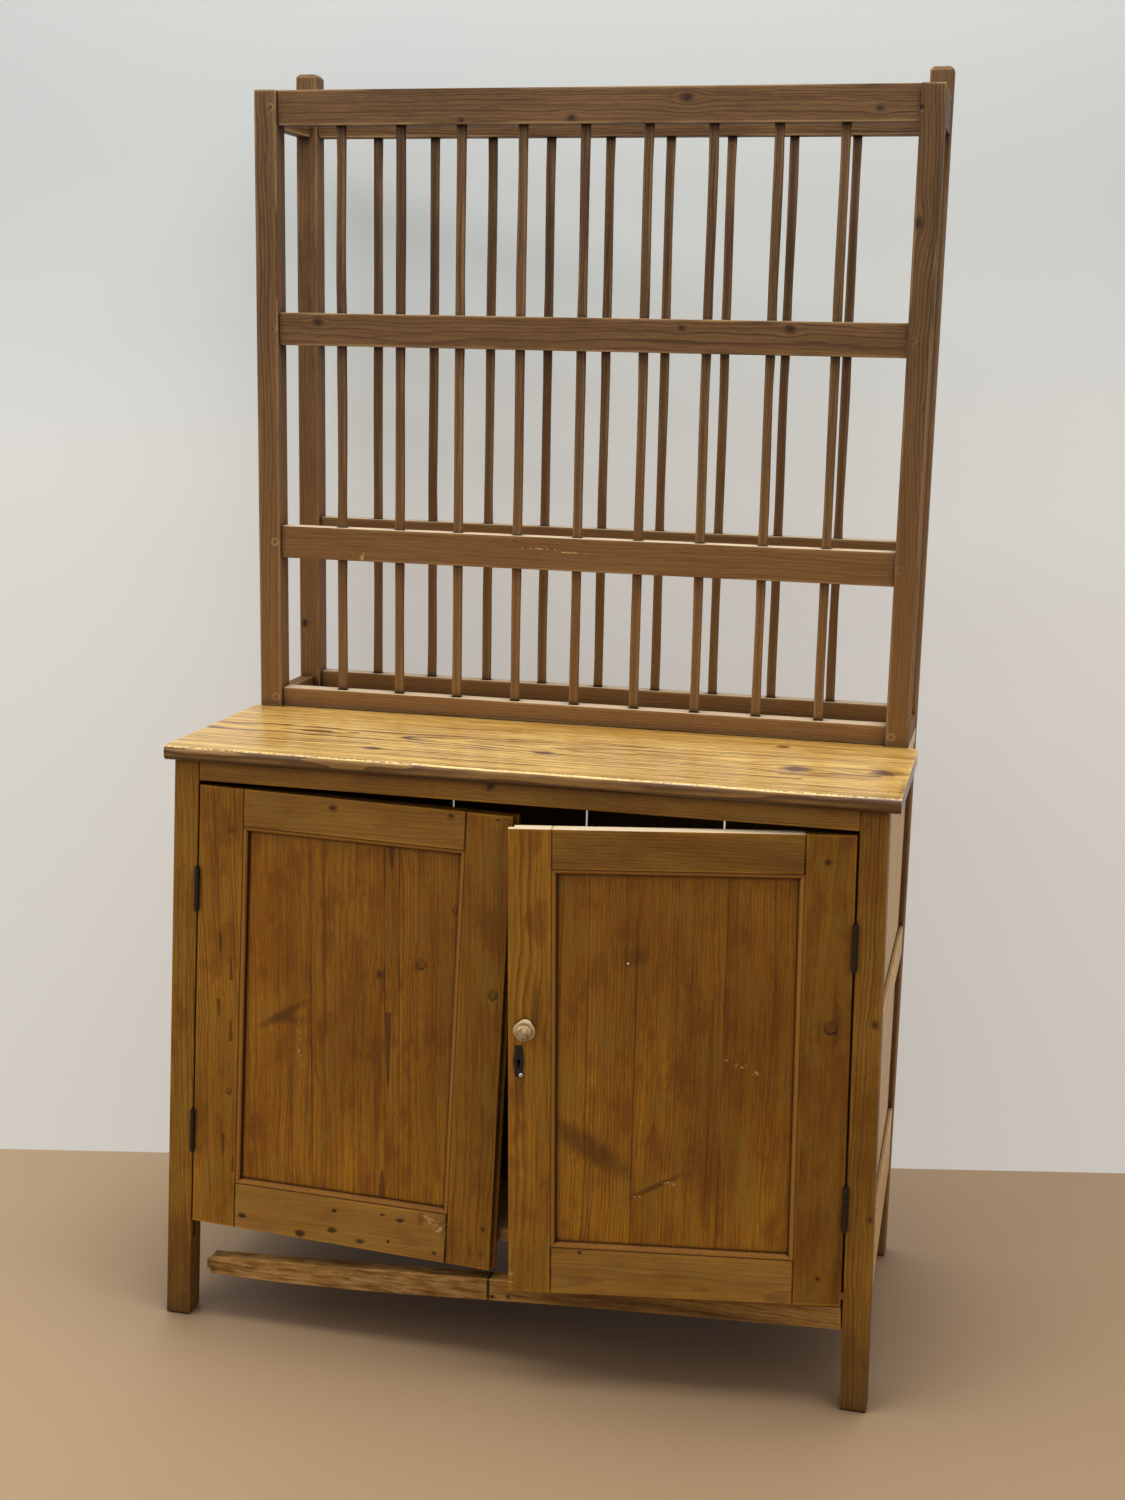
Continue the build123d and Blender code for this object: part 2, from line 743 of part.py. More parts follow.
def slat_reach():
    """Lower and upper end of the slats."""
    return (rack_rail_tops["bottom"] - slat_end,
            rack_rail_tops["top"] - rack_rail_heights["top"] + slat_end)


def make_rack_rail(name, low, high, middle, thickness, tenon, pegged):
    face = rack_half - rack_stile_width
    with BuildPart() as rail:
        with BuildSketch(Plane.XY.offset(low)):
            with Locations((0, middle)):
                Rectangle(2 * face, thickness)
        extrude(amount=high - low)
        for side in (LEFT, RIGHT):
            block(*tenon(side, low, high))
        slat_room(middle, joint_play)
        if pegged:
            pegs(peg_radius + peg_play, peg_length() + peg_play, Mode.SUBTRACT)
    keep(name, rail.part)


def make_slats(name, middle):
    low, high = slat_reach()
    with BuildPart() as slats:
        with BuildSketch(Plane.XY.offset(low)):
            with Locations((slat_shift, middle)):
                with GridLocations(slat_pitch, 0, slat_count, 1):
                    Rectangle(slat_width, slat_thickness)
        extrude(amount=high - low)
    keep(name, slats.part)


def rack_side_rail(side, rail):
    """A short rail that ties a stile to the rear post behind it."""
    low, high, _ = rack_side_rails()[rail]
    outer = side * (rack_half - side_rail_setback)
    with BuildPart() as board:
        block((outer, rack_front + rack_stile_depth, low),
              (outer - side * rack_side_rail_thickness, rear_post_front, high))
        for corners in rack_side_tenons(side, rail):
            block(*corners)
    return board.part


# ---- doors --------------------------------------------------------------------------------------
def door_width():
    """A door's width at its front face: the two doors share the opening at their tops."""
    opening = inner_x(RIGHT, door_top) - inner_x(LEFT, door_top)
    return (opening - meeting_gap) / 2 - hinge_gap


def door_span(side, start, end, front, back, low, high):
    """Corners of a block of a door: start and end are measured from the hinged edge."""
    edge = hinge_gap / 2
    return ((-side * (edge + start), pin_reach + front, low),
            (-side * (edge + end), pin_reach + back, high))


def door_level(side, level, across):
    """Height of a line across a door: its foot, its head or the inner edge of a rail."""
    start, slant = {"foot": (0, 0), "head": (door_height, top_slant[side]),
                    "top": (door_height - door_top_rail_height, top_slant[side]),
                    "bottom": (bottom_rail_heights[side], bottom_rail_slants[side])}[level]
    return start + slant * across / door_width()


def door_outline(side, near, far, low, high, reach=0):
    """Corners (across, up) between two lines across a door, widened by reach all round."""
    near, far = near - reach, far + reach
    return [(near, door_level(side, low, near) - reach), (far, door_level(side, low, far) - reach),
            (far, door_level(side, high, far) + reach), (near, door_level(side, high, near) + reach)]


def door_board(side, plane, outline, front, back, mode=Mode.ADD):
    """Add or cut the prism over an outline of a door, between two depths behind its face."""
    face = Plane(origin=(0, pin_reach + front, 0), x_dir=(1, 0, 0), z_dir=(0, -1, 0))
    with BuildSketch(Plane(plane.location * face.location)) as sketch:
        polygon([(-side * (hinge_gap / 2 + across), up) for across, up in outline])
    extrude(sketch.sketch, amount=front - back, mode=mode)


door_rails = {"top": ("top", "head"), "bottom": ("foot", "bottom")}


def rail_tenon_corners(side, rail):
    """Tenons of a door rail in the hinge stile and in the lock stile."""
    low, high = door_rails[rail]
    near, far = panel_sides(side)
    ends = ((near, near - door_tenon_length, near + overlap),
            (far, far - overlap, far + door_tenon_length))
    return [door_span(side, start, end, door_panel_setback, door_panel_setback + door_panel_thickness,
                      door_level(side, low, face) + tenon_shoulder,
                      door_level(side, high, face) - tenon_shoulder) for face, start, end in ends]


def panel_sides(side):
    """Inner edges of the stiles, from the hinged edge."""
    return hinge_stile_width, door_width() - lock_stile_width[side]


def door_panel(side, plane, play=0, mode=Mode.ADD):
    """The panel, or with play the grooves that take it."""
    outline = door_outline(side, *panel_sides(side), "bottom", "top", door_groove_depth + play)
    door_board(side, plane, outline, door_panel_setback - play,
               door_panel_setback + door_panel_thickness + play, mode)


def bead_strip(side, outline):
    """One mitred quarter-round strip, in the door's own frame, from its (across, up) outline."""
    face = Plane(origin=(0, pin_reach + door_panel_setback, 0), x_dir=(1, 0, 0), z_dir=(0, -1, 0))
    inner_edge = [(-side * (hinge_gap / 2 + across), up) for across, up in outline[2:]]
    middle = [sum(values) / 2 for values in zip(*inner_edge)]
    with BuildPart() as strip:
        with BuildSketch(face):
            polygon([(-side * (hinge_gap / 2 + across), up) for across, up in outline])
        extrude(amount=door_panel_setback - bead_setback)
        front = (middle[0], pin_reach + bead_setback, middle[1])
        fillet(strip.edges().sort_by_distance(front)[0], bead_radius)
    return strip.part


def make_bead(side, plane):
    """Four mitred strips in the corner between the frame and the panel."""
    outside = door_outline(side, *panel_sides(side), "bottom", "top")
    inside = door_outline(side, *panel_sides(side), "bottom", "top", -bead_width)
    corners = len(outside)
    outlines = [[outside[n], outside[n + 1 - corners], inside[n + 1 - corners], inside[n]]
                for n in range(corners)]
    with BuildPart(plane) as bead:
        for outline in outlines:
            add(bead_strip(side, outline))
    keep(f"{side_name[side]}_door_bead", bead.part)


def keyhole(side, plane, front, back, mode):
    """The keyhole's outline, carried through a piece of the door from front to back."""
    across = -side * (hinge_gap / 2 + door_width() - escutcheon_edge)
    face = Plane(origin=(across, pin_reach + front, escutcheon_centre),
                 x_dir=(1, 0, 0), z_dir=(0, -1, 0))
    with BuildSketch(Plane(plane.location * face.location)) as outline:
        Circle(keyhole_radius)
        with Locations((0, -keyhole_slot / 2)):
            Rectangle(keyhole_radius, keyhole_slot)
    extrude(outline.sketch, amount=front - back, mode=mode)


def make_stiles(side, plane):
    width = door_width()
    name = side_name[side]
    with BuildPart(plane) as hinge_stile:
        door_board(side, plane, door_outline(side, 0, hinge_stile_width, "foot", "head"),
                   0, door_thickness)
        ease(hinge_stile.edges().filter_by(lambda edge: edge.length > door_height / 2), door_ease)
        hinge_recesses(Location(), side, -1)
        door_panel(side, plane, joint_play, Mode.SUBTRACT)
        for rail in door_rails:
            cut(rail_tenon_corners(side, rail)[0])
    keep(f"{name}_door_hinge_stile", hinge_stile.part)

    half = door_thickness / 2
    with BuildPart(plane) as lock_stile:
        door_board(side, plane, door_outline(side, width - lock_stile_width[side], width, "foot", "head"),
                   0, door_thickness)
        ease(lock_stile.edges().filter_by(lambda edge: edge.length > door_height / 2), door_ease)
        if side == LEFT:
            tongue = door_outline(side, width - overlap, width + meeting_tongue, "foot", "head")
            door_board(side, plane, tongue, half + joint_play, door_thickness - door_ease)
        else:
            rebate = door_outline(side, width - meeting_rebate + overlap, width, "foot", "head", overlap)
            door_board(side, plane, rebate, half, door_thickness + overlap, Mode.SUBTRACT)
            keyhole(side, plane, -overlap, door_thickness + overlap, Mode.SUBTRACT)
            with Locations((knob_across(side), pin_reach, knob_height_on_door)):
                Cylinder(knob_spigot_radius + knob_play, 2 * (knob_spigot_length + knob_play),
                         rotation=(90, 0, 0), mode=Mode.SUBTRACT)
        door_panel(side, plane, joint_play, Mode.SUBTRACT)
        for rail in door_rails:
            cut(rail_tenon_corners(side, rail)[1])
    keep(f"{name}_door_lock_stile", lock_stile.part)


def knob_across(side):
    """The knob stands on the middle of the lock stile."""
    return -side * (hinge_gap / 2 + door_width() - lock_stile_width[side] / 2)


def make_rails(side, plane):
    for rail, (low, high) in door_rails.items():
        with BuildPart(plane) as board:
            door_board(side, plane, door_outline(side, *panel_sides(side), low, high), 0, door_thickness)
            door_panel(side, plane, joint_play, Mode.SUBTRACT)
            for corners in rail_tenon_corners(side, rail):
                block(*corners)
        keep(f"{side_name[side]}_door_{rail}_rail", board.part)
    with BuildPart(plane) as panel:
        door_panel(side, plane)
    keep(f"{side_name[side]}_door_panel", panel.part)


def make_door(side):
    plane = door_plane(side, door_angle[side])
    name = side_name[side]
    make_stiles(side, plane)
    make_rails(side, plane)
    make_bead(side, plane)
    keep(f"{name}_door_hinge_leaves", hinge_leaves(plane, side, -1))
    make_screws(screw_places(plane.location, side, -1), f"{name}_door_hinge_screws")


def make_knob(side, plane):
    """A turned knob: foot ring, neck, and a head with a rounded rim, a groove and a button."""
    base = plane.location * Pos(knob_across(side), pin_reach, knob_height_on_door)
    across, forward = plane.x_dir, -plane.y_dir
    section = Plane(origin=base.position, x_dir=across, z_dir=across.cross(forward))
    rim = knob_radius - knob_rim
    with BuildPart() as knob:
        with BuildSketch(section):
            with BuildLine():
                Polyline((knob_groove_radius, knob_groove_height), (rim, knob_rim_height + knob_rim))
                ThreePointArc((rim, knob_rim_height + knob_rim), (knob_radius, knob_rim_height),
                              (rim, knob_rim_height - knob_rim))
                Polyline((rim, knob_rim_height - knob_rim), (knob_neck_radius, knob_neck_height),
                         (knob_neck_radius, knob_foot_height), (knob_foot_radius, knob_foot_height),
                         (knob_foot_radius, 0), (knob_spigot_radius, 0),
                         (knob_spigot_radius, -knob_spigot_length), (0, -knob_spigot_length),
                         (0, knob_height))
                ThreePointArc((0, knob_height), (knob_button_radius * cos(radians(45)),
                                                 knob_button_height
                                                 + (knob_height - knob_button_height) * sin(radians(45))),
                              (knob_button_radius, knob_button_height))
                Polyline((knob_button_radius, knob_button_height),
                         (knob_groove_radius, knob_groove_height))
            make_face()
        revolve(axis=Axis(base.position, forward))
    keep("door_knob", knob.part)


def make_escutcheon(side, plane):
    across = -side * (hinge_gap / 2 + door_width() - escutcheon_edge)
    face = Plane(origin=(across, pin_reach, escutcheon_centre), x_dir=(1, 0, 0), z_dir=(0, -1, 0))
    with BuildPart() as plate:
        with BuildSketch(Plane(plane.location * face.location)):
            Rectangle(escutcheon_end_width, escutcheon_height)
            Ellipse(escutcheon_width / 2, escutcheon_belly / 2)
        extrude(amount=escutcheon_thickness)
        keyhole(side, plane, -escutcheon_thickness - overlap, overlap, Mode.SUBTRACT)
    keep("escutcheon", plate.part)


def bolt_corners(side):
    """Corners of the lock's bolt, pulled back flush with the door's edge."""
    end = door_width() - meeting_rebate
    front = door_thickness + (lock_thickness - lock_bolt_thickness) / 2
    middle = escutcheon_centre
    return door_span(side, end - lock_bolt_length, end, front, front + lock_bolt_thickness,
                     middle - lock_bolt_height / 2, middle + lock_bolt_height / 2)


def make_lock(side, plane):
    end = door_width() - meeting_rebate
    back = door_thickness + lock_thickness
    middle = escutcheon_centre
    with BuildPart(plane) as case:
        block(*door_span(side, end - lock_width, end, door_thickness, back,
                         middle - lock_height / 2, middle + lock_height / 2))
        ease(case.faces().sort_by(Axis(plane.origin, plane.y_dir))[-1].edges(), lock_ease)
        block(*grown(*bolt_corners(side), lock_bolt_play), mode=Mode.SUBTRACT)
        keyhole(side, plane, door_thickness - overlap, back - lock_wall, Mode.SUBTRACT)
    keep("lock_case", case.part)
    with BuildPart(plane) as bolt:
        block(*bolt_corners(side))
    keep("lock_bolt", bolt.part)


# ---- the whole cabinet --------------------------------------------------------------------------
def make_all():
    for side in (LEFT, RIGHT):
        make_front_post(side)
        make_rear_post(side)
        make_side(side)
        make_rack_stile(side)
        make_door(side)
    for rail in rack_side_rails():
        keep(f"rack_{rail}_side_rails", both_sides(lambda side: rack_side_rail(side, rail)))
    keep("post_hinge_leaves", both_sides(lambda side: hinge_leaves(door_plane(side, 0), side, 1)))
    make_apron()
    make_bottom_rail()
    for name in rear_rails:
        make_rear_rail(name)
    make_back_boards()
    make_level_boards("floor_boards", floor_board_bottom, floor_board_thickness, floor_board_count,
                      door_thickness + inside_play / 2)
    make_level_boards("shelf_boards", shelf_board_bottom, shelf_board_thickness, shelf_board_count,
                      shelf_setback)
    make_bearers("floor_bearers", floor_board_bottom, front_post_size + joint_play)
    make_bearers("shelf_bearers", shelf_board_bottom, shelf_setback)
    make_table()
    for level, low, high in rack_levels():
        make_rack_rail(f"rack_front_{level}_rail", low, high, rack_front_middle, rack_rail_thickness,
                       front_tenon, True)
        make_rack_rail(f"rack_rear_{level}_rail", low, high, rack_rear_middle,
                       rear_rack_rail_thickness, rear_rack_tenon, False)
    make_slats("rack_front_slats", rack_front_middle)
    make_slats("rack_rear_slats", rack_rear_middle)
    with BuildPart() as rack_pegs:
        pegs(peg_radius, peg_length())
    keep("rack_pegs", rack_pegs.part)
    make_screws([place for side in (LEFT, RIGHT)
                 for place in screw_places(door_plane(side, 0).location, side, 1)],
                "post_hinge_screws")
    right_plane = door_plane(RIGHT, right_door_angle)
    make_knob(RIGHT, right_plane)
    make_escutcheon(RIGHT, right_plane)
    make_lock(RIGHT, right_plane)


def origin_shift():
    """Move that puts the middle of the footprint at the origin."""
    boxes = [part.bounding_box() for part in pieces.values()]
    low_x, high_x = min(box.min.X for box in boxes), max(box.max.X for box in boxes)
    low_y, high_y = min(box.min.Y for box in boxes), max(box.max.Y for box in boxes)
    return Location((-(low_x + high_x) / 2, -(low_y + high_y) / 2, 0))


make_all()
shift = origin_shift()
os.makedirs("parts", exist_ok=True)
for name, part in pieces.items():
    placed = part.moved(shift)
    placed.label = name
    export_step(placed, f"parts/{name}.step")
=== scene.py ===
"""Looks of the trastero cabinet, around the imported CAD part. Lengths are in metres, in the part's own frame."""

import math
import random

import bpy
from mathutils import Matrix, Vector


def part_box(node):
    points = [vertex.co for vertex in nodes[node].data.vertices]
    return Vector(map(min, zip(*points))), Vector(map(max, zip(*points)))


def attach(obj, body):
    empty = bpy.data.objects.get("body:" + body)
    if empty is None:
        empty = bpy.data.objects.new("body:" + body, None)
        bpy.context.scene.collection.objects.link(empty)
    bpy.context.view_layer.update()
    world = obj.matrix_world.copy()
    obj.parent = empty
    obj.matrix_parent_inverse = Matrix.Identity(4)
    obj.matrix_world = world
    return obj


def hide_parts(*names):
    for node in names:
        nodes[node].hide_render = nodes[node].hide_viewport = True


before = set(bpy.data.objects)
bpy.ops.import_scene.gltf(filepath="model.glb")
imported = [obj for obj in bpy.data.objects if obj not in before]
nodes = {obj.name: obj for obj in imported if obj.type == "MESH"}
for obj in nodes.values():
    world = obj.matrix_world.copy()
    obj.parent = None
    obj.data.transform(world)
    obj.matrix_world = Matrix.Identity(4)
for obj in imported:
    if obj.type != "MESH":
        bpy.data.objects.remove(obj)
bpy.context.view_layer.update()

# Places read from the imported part: front faces of the posts and of the rack, a corner of the table, the
# dropped end of the rail under the doors.
post_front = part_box("front_left_post")[0].y
rack_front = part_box("rack_left_stile")[0].y
table_corner = Vector((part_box("table_front_board")[1].x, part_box("table_front_board")[0].y, 0))
rail_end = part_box("front_bottom_rail")[0]

# The right door stands ajar, turned about its pin.
DOOR_ANGLE = math.radians(8.5)
DOOR_PIN = Vector((0.4790, post_front - 0.0035, 0))
AJAR, SHUT = Matrix.Rotation(DOOR_ANGLE, 3, "Z"), Matrix.Rotation(-DOOR_ANGLE, 3, "Z")
UPRIGHT_LEAN = {"left": 0.0385, "right": -0.01635}  # of the doors' stiles, sideways per height
TENON = 0.034  # how far a door's rail runs into its stiles


def linear(colour, tint=1.0):
    """An sRGB colour of 0 to 255 as linear light, with alpha."""
    shares = [c / 255 for c in colour]
    light = [c / 12.92 if c <= 0.04045 else ((c + 0.055) / 1.055) ** 2.4 for c in shares]
    return tuple(c * tint for c in light) + (1.0,)


# ---- shader nodes -------------------------------------------------------------------------------
class Net:
    """Short names for the nodes that the materials are made of."""

    def __init__(self, tree):
        self.tree = tree

    def put(self, socket, value):
        if isinstance(value, bpy.types.NodeSocket):
            self.tree.links.new(value, socket)
        else:
            socket.default_value = value

    def point(self):
        """The place on a piece, in the part's frame."""
        return self.tree.nodes.new("ShaderNodeTexCoord").outputs["Object"]

    def normal(self):
        return self.split(self.tree.nodes.new("ShaderNodeNewGeometry").outputs["Normal"])

    def math(self, operation, a, b=0.0, c=0.0, clamp=False):
        node = self.tree.nodes.new("ShaderNodeMath")
        node.operation, node.use_clamp = operation, clamp
        for socket, value in zip(node.inputs, (a, b, c)):
            self.put(socket, value)
        return node.outputs[0]

    def add(self, a, b):
        return self.math("ADD", a, b)

    def sub(self, a, b):
        return self.math("SUBTRACT", a, b)

    def mul(self, a, b):
        return self.math("MULTIPLY", a, b)

    def squared(self, value, size):
        """A length as a share of a size, squared."""
        return self.math("POWER", self.mul(value, 1 / size), 2.0)

    def sway(self, noise, width):
        """A noise of 0 to 1 as a value about 0."""
        return self.mul(self.sub(noise, 0.5), width)

    def split(self, vector):
        node = self.tree.nodes.new("ShaderNodeSeparateXYZ")
        self.put(node.inputs[0], vector)
        return node.outputs

    def join(self, x, y, z):
        node = self.tree.nodes.new("ShaderNodeCombineXYZ")
        for socket, value in zip(node.inputs, (x, y, z)):
            self.put(socket, value)
        return node.outputs[0]

    def noise(self, vector, scale=1.0, detail=2.0, rough=0.5, colour=False):
        node = self.tree.nodes.new("ShaderNodeTexNoise")
        self.put(node.inputs["Vector"], vector)
        self.put(node.inputs["Scale"], scale)
        self.put(node.inputs["Detail"], detail)
        self.put(node.inputs["Roughness"], rough)
        return node.outputs["Color" if colour else 0]

    def white(self, value):
        node = self.tree.nodes.new("ShaderNodeTexWhiteNoise")
        node.noise_dimensions = "1D"
        self.put(node.inputs["W"], value)
        return node.outputs["Value"]

    def step(self, value, start, end, low=0.0, high=1.0):
        """Smooth step of a value from low at start to high at end."""
        node = self.tree.nodes.new("ShaderNodeMapRange")
        node.interpolation_type = "SMOOTHSTEP"
        if start > end:
            start, end, low, high = end, start, high, low
        for socket, item in zip(node.inputs, (value, start, end, low, high)):
            self.put(socket, item)
        return node.outputs[0]

    def mix(self, share, a, b):
        node = self.tree.nodes.new("ShaderNodeMix")
        node.data_type, node.blend_type = "RGBA", "MIX"
        node.clamp_factor = True
        self.put(node.inputs[0], share)
        self.put(node.inputs[6], a)
        self.put(node.inputs[7], b)
        return node.outputs[2]

    def over(self, colour, share, tone):
        """A share of an sRGB tone, given by itself or by its name in TONES, laid over a colour."""
        return self.mix(share, colour, linear(TONES[tone] if isinstance(tone, str) else tone))

    def scaled(self, along, across, depth, sizes):
        """Position divided by a size along, across and through the board."""
        return self.join(self.mul(along, 1 / sizes[0]), self.mul(across, 1 / sizes[1]),
                         self.mul(depth, 1 / sizes[2]))

    def occlusion(self, distance, inside=False):
        node = self.tree.nodes.new("ShaderNodeAmbientOcclusion")
        node.samples, node.inside, node.only_local = (3, True, True) if inside else (5, False, False)
        self.put(node.inputs["Distance"], distance)
        return node.outputs["AO"]

    def bump(self, shader, strength, distance, height):
        node = self.tree.nodes.new("ShaderNodeBump")
        node.inputs["Strength"].default_value = strength
        node.inputs["Distance"].default_value = distance
        self.put(node.inputs["Height"], height)
        self.put(shader.inputs["Normal"], node.outputs[0])


def fresh(name):
    """A new material, its net and its shader node."""
    material = bpy.data.materials.new(name)
    material.use_nodes = True
    return material, Net(material.node_tree), material.node_tree.nodes["Principled BSDF"]


# ---- wood ---------------------------------------------------------------------------------------
# light and mid: the early wood; ring: the late wood; grime_and_shade: a dark tone for soiling, also laid as painted
# shade in corners and cracks; rings and streaks: how strongly they show
LOOKS = {
    "cupboard": dict(light=(178, 120, 26), mid=(128, 80, 6), ring=(76, 42, 5), grime_and_shade=(28, 14, 4),
                     rings=0.62, streaks=0.62, rough=0.50, gloss=0.28),
    "panel": dict(light=(176, 118, 22), mid=(128, 77, 4), ring=(80, 42, 4), grime_and_shade=(28, 14, 4),
                  rings=0.42, streaks=0.62, rough=0.50, gloss=0.28),
    "bead": dict(light=(150, 100, 40), mid=(126, 80, 22), ring=(84, 43, 5), grime_and_shade=(34, 12, 2),
                 rings=0.0, streaks=0.20, rough=0.62, gloss=0.15),
    "post": dict(light=(166, 114, 32), mid=(124, 80, 12), ring=(76, 46, 8), grime_and_shade=(36, 21, 8),
                 rings=0.50, streaks=0.62, rough=0.55, gloss=0.25),
    "rack": dict(light=(118, 86, 50), mid=(90, 62, 34), ring=(60, 38, 20), grime_and_shade=(30, 18, 10),
                 rings=0.70, streaks=0.92, rough=0.60, gloss=0.25),
    "table": dict(light=(240, 199, 110), mid=(186, 134, 52), ring=(102, 58, 18), grime_and_shade=(66, 34, 10),
                  rings=0.85, streaks=1.15, rough=0.34, gloss=0.5),
    "side": dict(light=(226, 182, 118), mid=(192, 146, 84), ring=(128, 84, 42), grime_and_shade=(60, 34, 16),
                 rings=0.40, streaks=0.60, rough=0.48, gloss=0.5),
    "weathered": dict(light=(168, 122, 58), mid=(112, 74, 24), ring=(58, 33, 10), grime_and_shade=(30, 18, 8),
                      rings=0.30, streaks=0.50, rough=0.65, gloss=0.2),
    "raw": dict(light=(166, 124, 76), mid=(132, 94, 52), ring=(96, 62, 34), grime_and_shade=(44, 28, 16),
                rings=0.45, streaks=0.60, rough=0.70, gloss=0.25),
}
BROWN = ("cupboard", "panel", "post")
# tones laid over the wood, the iron, the knob and the floor
TONES = {
    "flake": (74, 44, 18), "pale flake": (196, 154, 100), "red cloud": (106, 58, 4),
    "olive cloud": (136, 102, 30), "dark slat": (66, 44, 30), "bounce light low in the rack": (150, 104, 50),
    "pale wood": (160, 124, 66), "scar": (206, 162, 98), "hole": (44, 21, 6), "worn, dusty and lit top": (226, 204, 170),
    "bead crest highlight": (168, 118, 54), "bead side shade": (50, 22, 4), "bead foot shade": (44, 18, 3), "nose": (128, 88, 36),
    "nose rings": (56, 30, 10), "nose streaks": (62, 34, 12), "nose underside shade": (70, 38, 10),
    "nose arris highlight": (255, 228, 158), "nose corner": (92, 54, 20), "soil": (60, 42, 26), "iron dirt": (18, 12, 8),
    "knob grain": (140, 104, 62), "knob face": (120, 88, 44), "knob dirt": (60, 36, 16),
    "rubbed rack edge": (206, 170, 118), "shadow under the cupboard": (92, 62, 36),
}
# which of x, y and z run along, across and through a board
ORDERS = {"z": (2, 0, 1), "x": (0, 2, 1), "y": (1, 2, 0), "flat": (0, 1, 2)}
# noises: size along the board, size across and through it, detail, roughness, and whether knots bend it
LAYERS = {
    "fibre": (0.13, 0.0044, 4.0, 0.70, True),
    "comb": (0.034, 0.0023, 3.0, 0.65, True),
    "streak": (0.42, 0.011, 3.0, 0.6, True),
    "hair": (0.016, 0.0013, 1.0, 0.5, True),
    "waver": (0.05, 0.008, 2.0, 0.5, True),
    "patch": (0.19, 0.055, 3.0, 0.55, False),
    "wide": (0.7, 0.3, 1.0, 0.5, False),
    "flakes": (0.040, 0.007, 4.0, 0.65, False),
    "cloud": (0.075, 0.040, 4.0, 0.6, False),
}
SLAT_SHIFT, BOARD_SHIFT = 9.0, 7.3  # how far apart neighbours lie in the noises, so that their grain differs


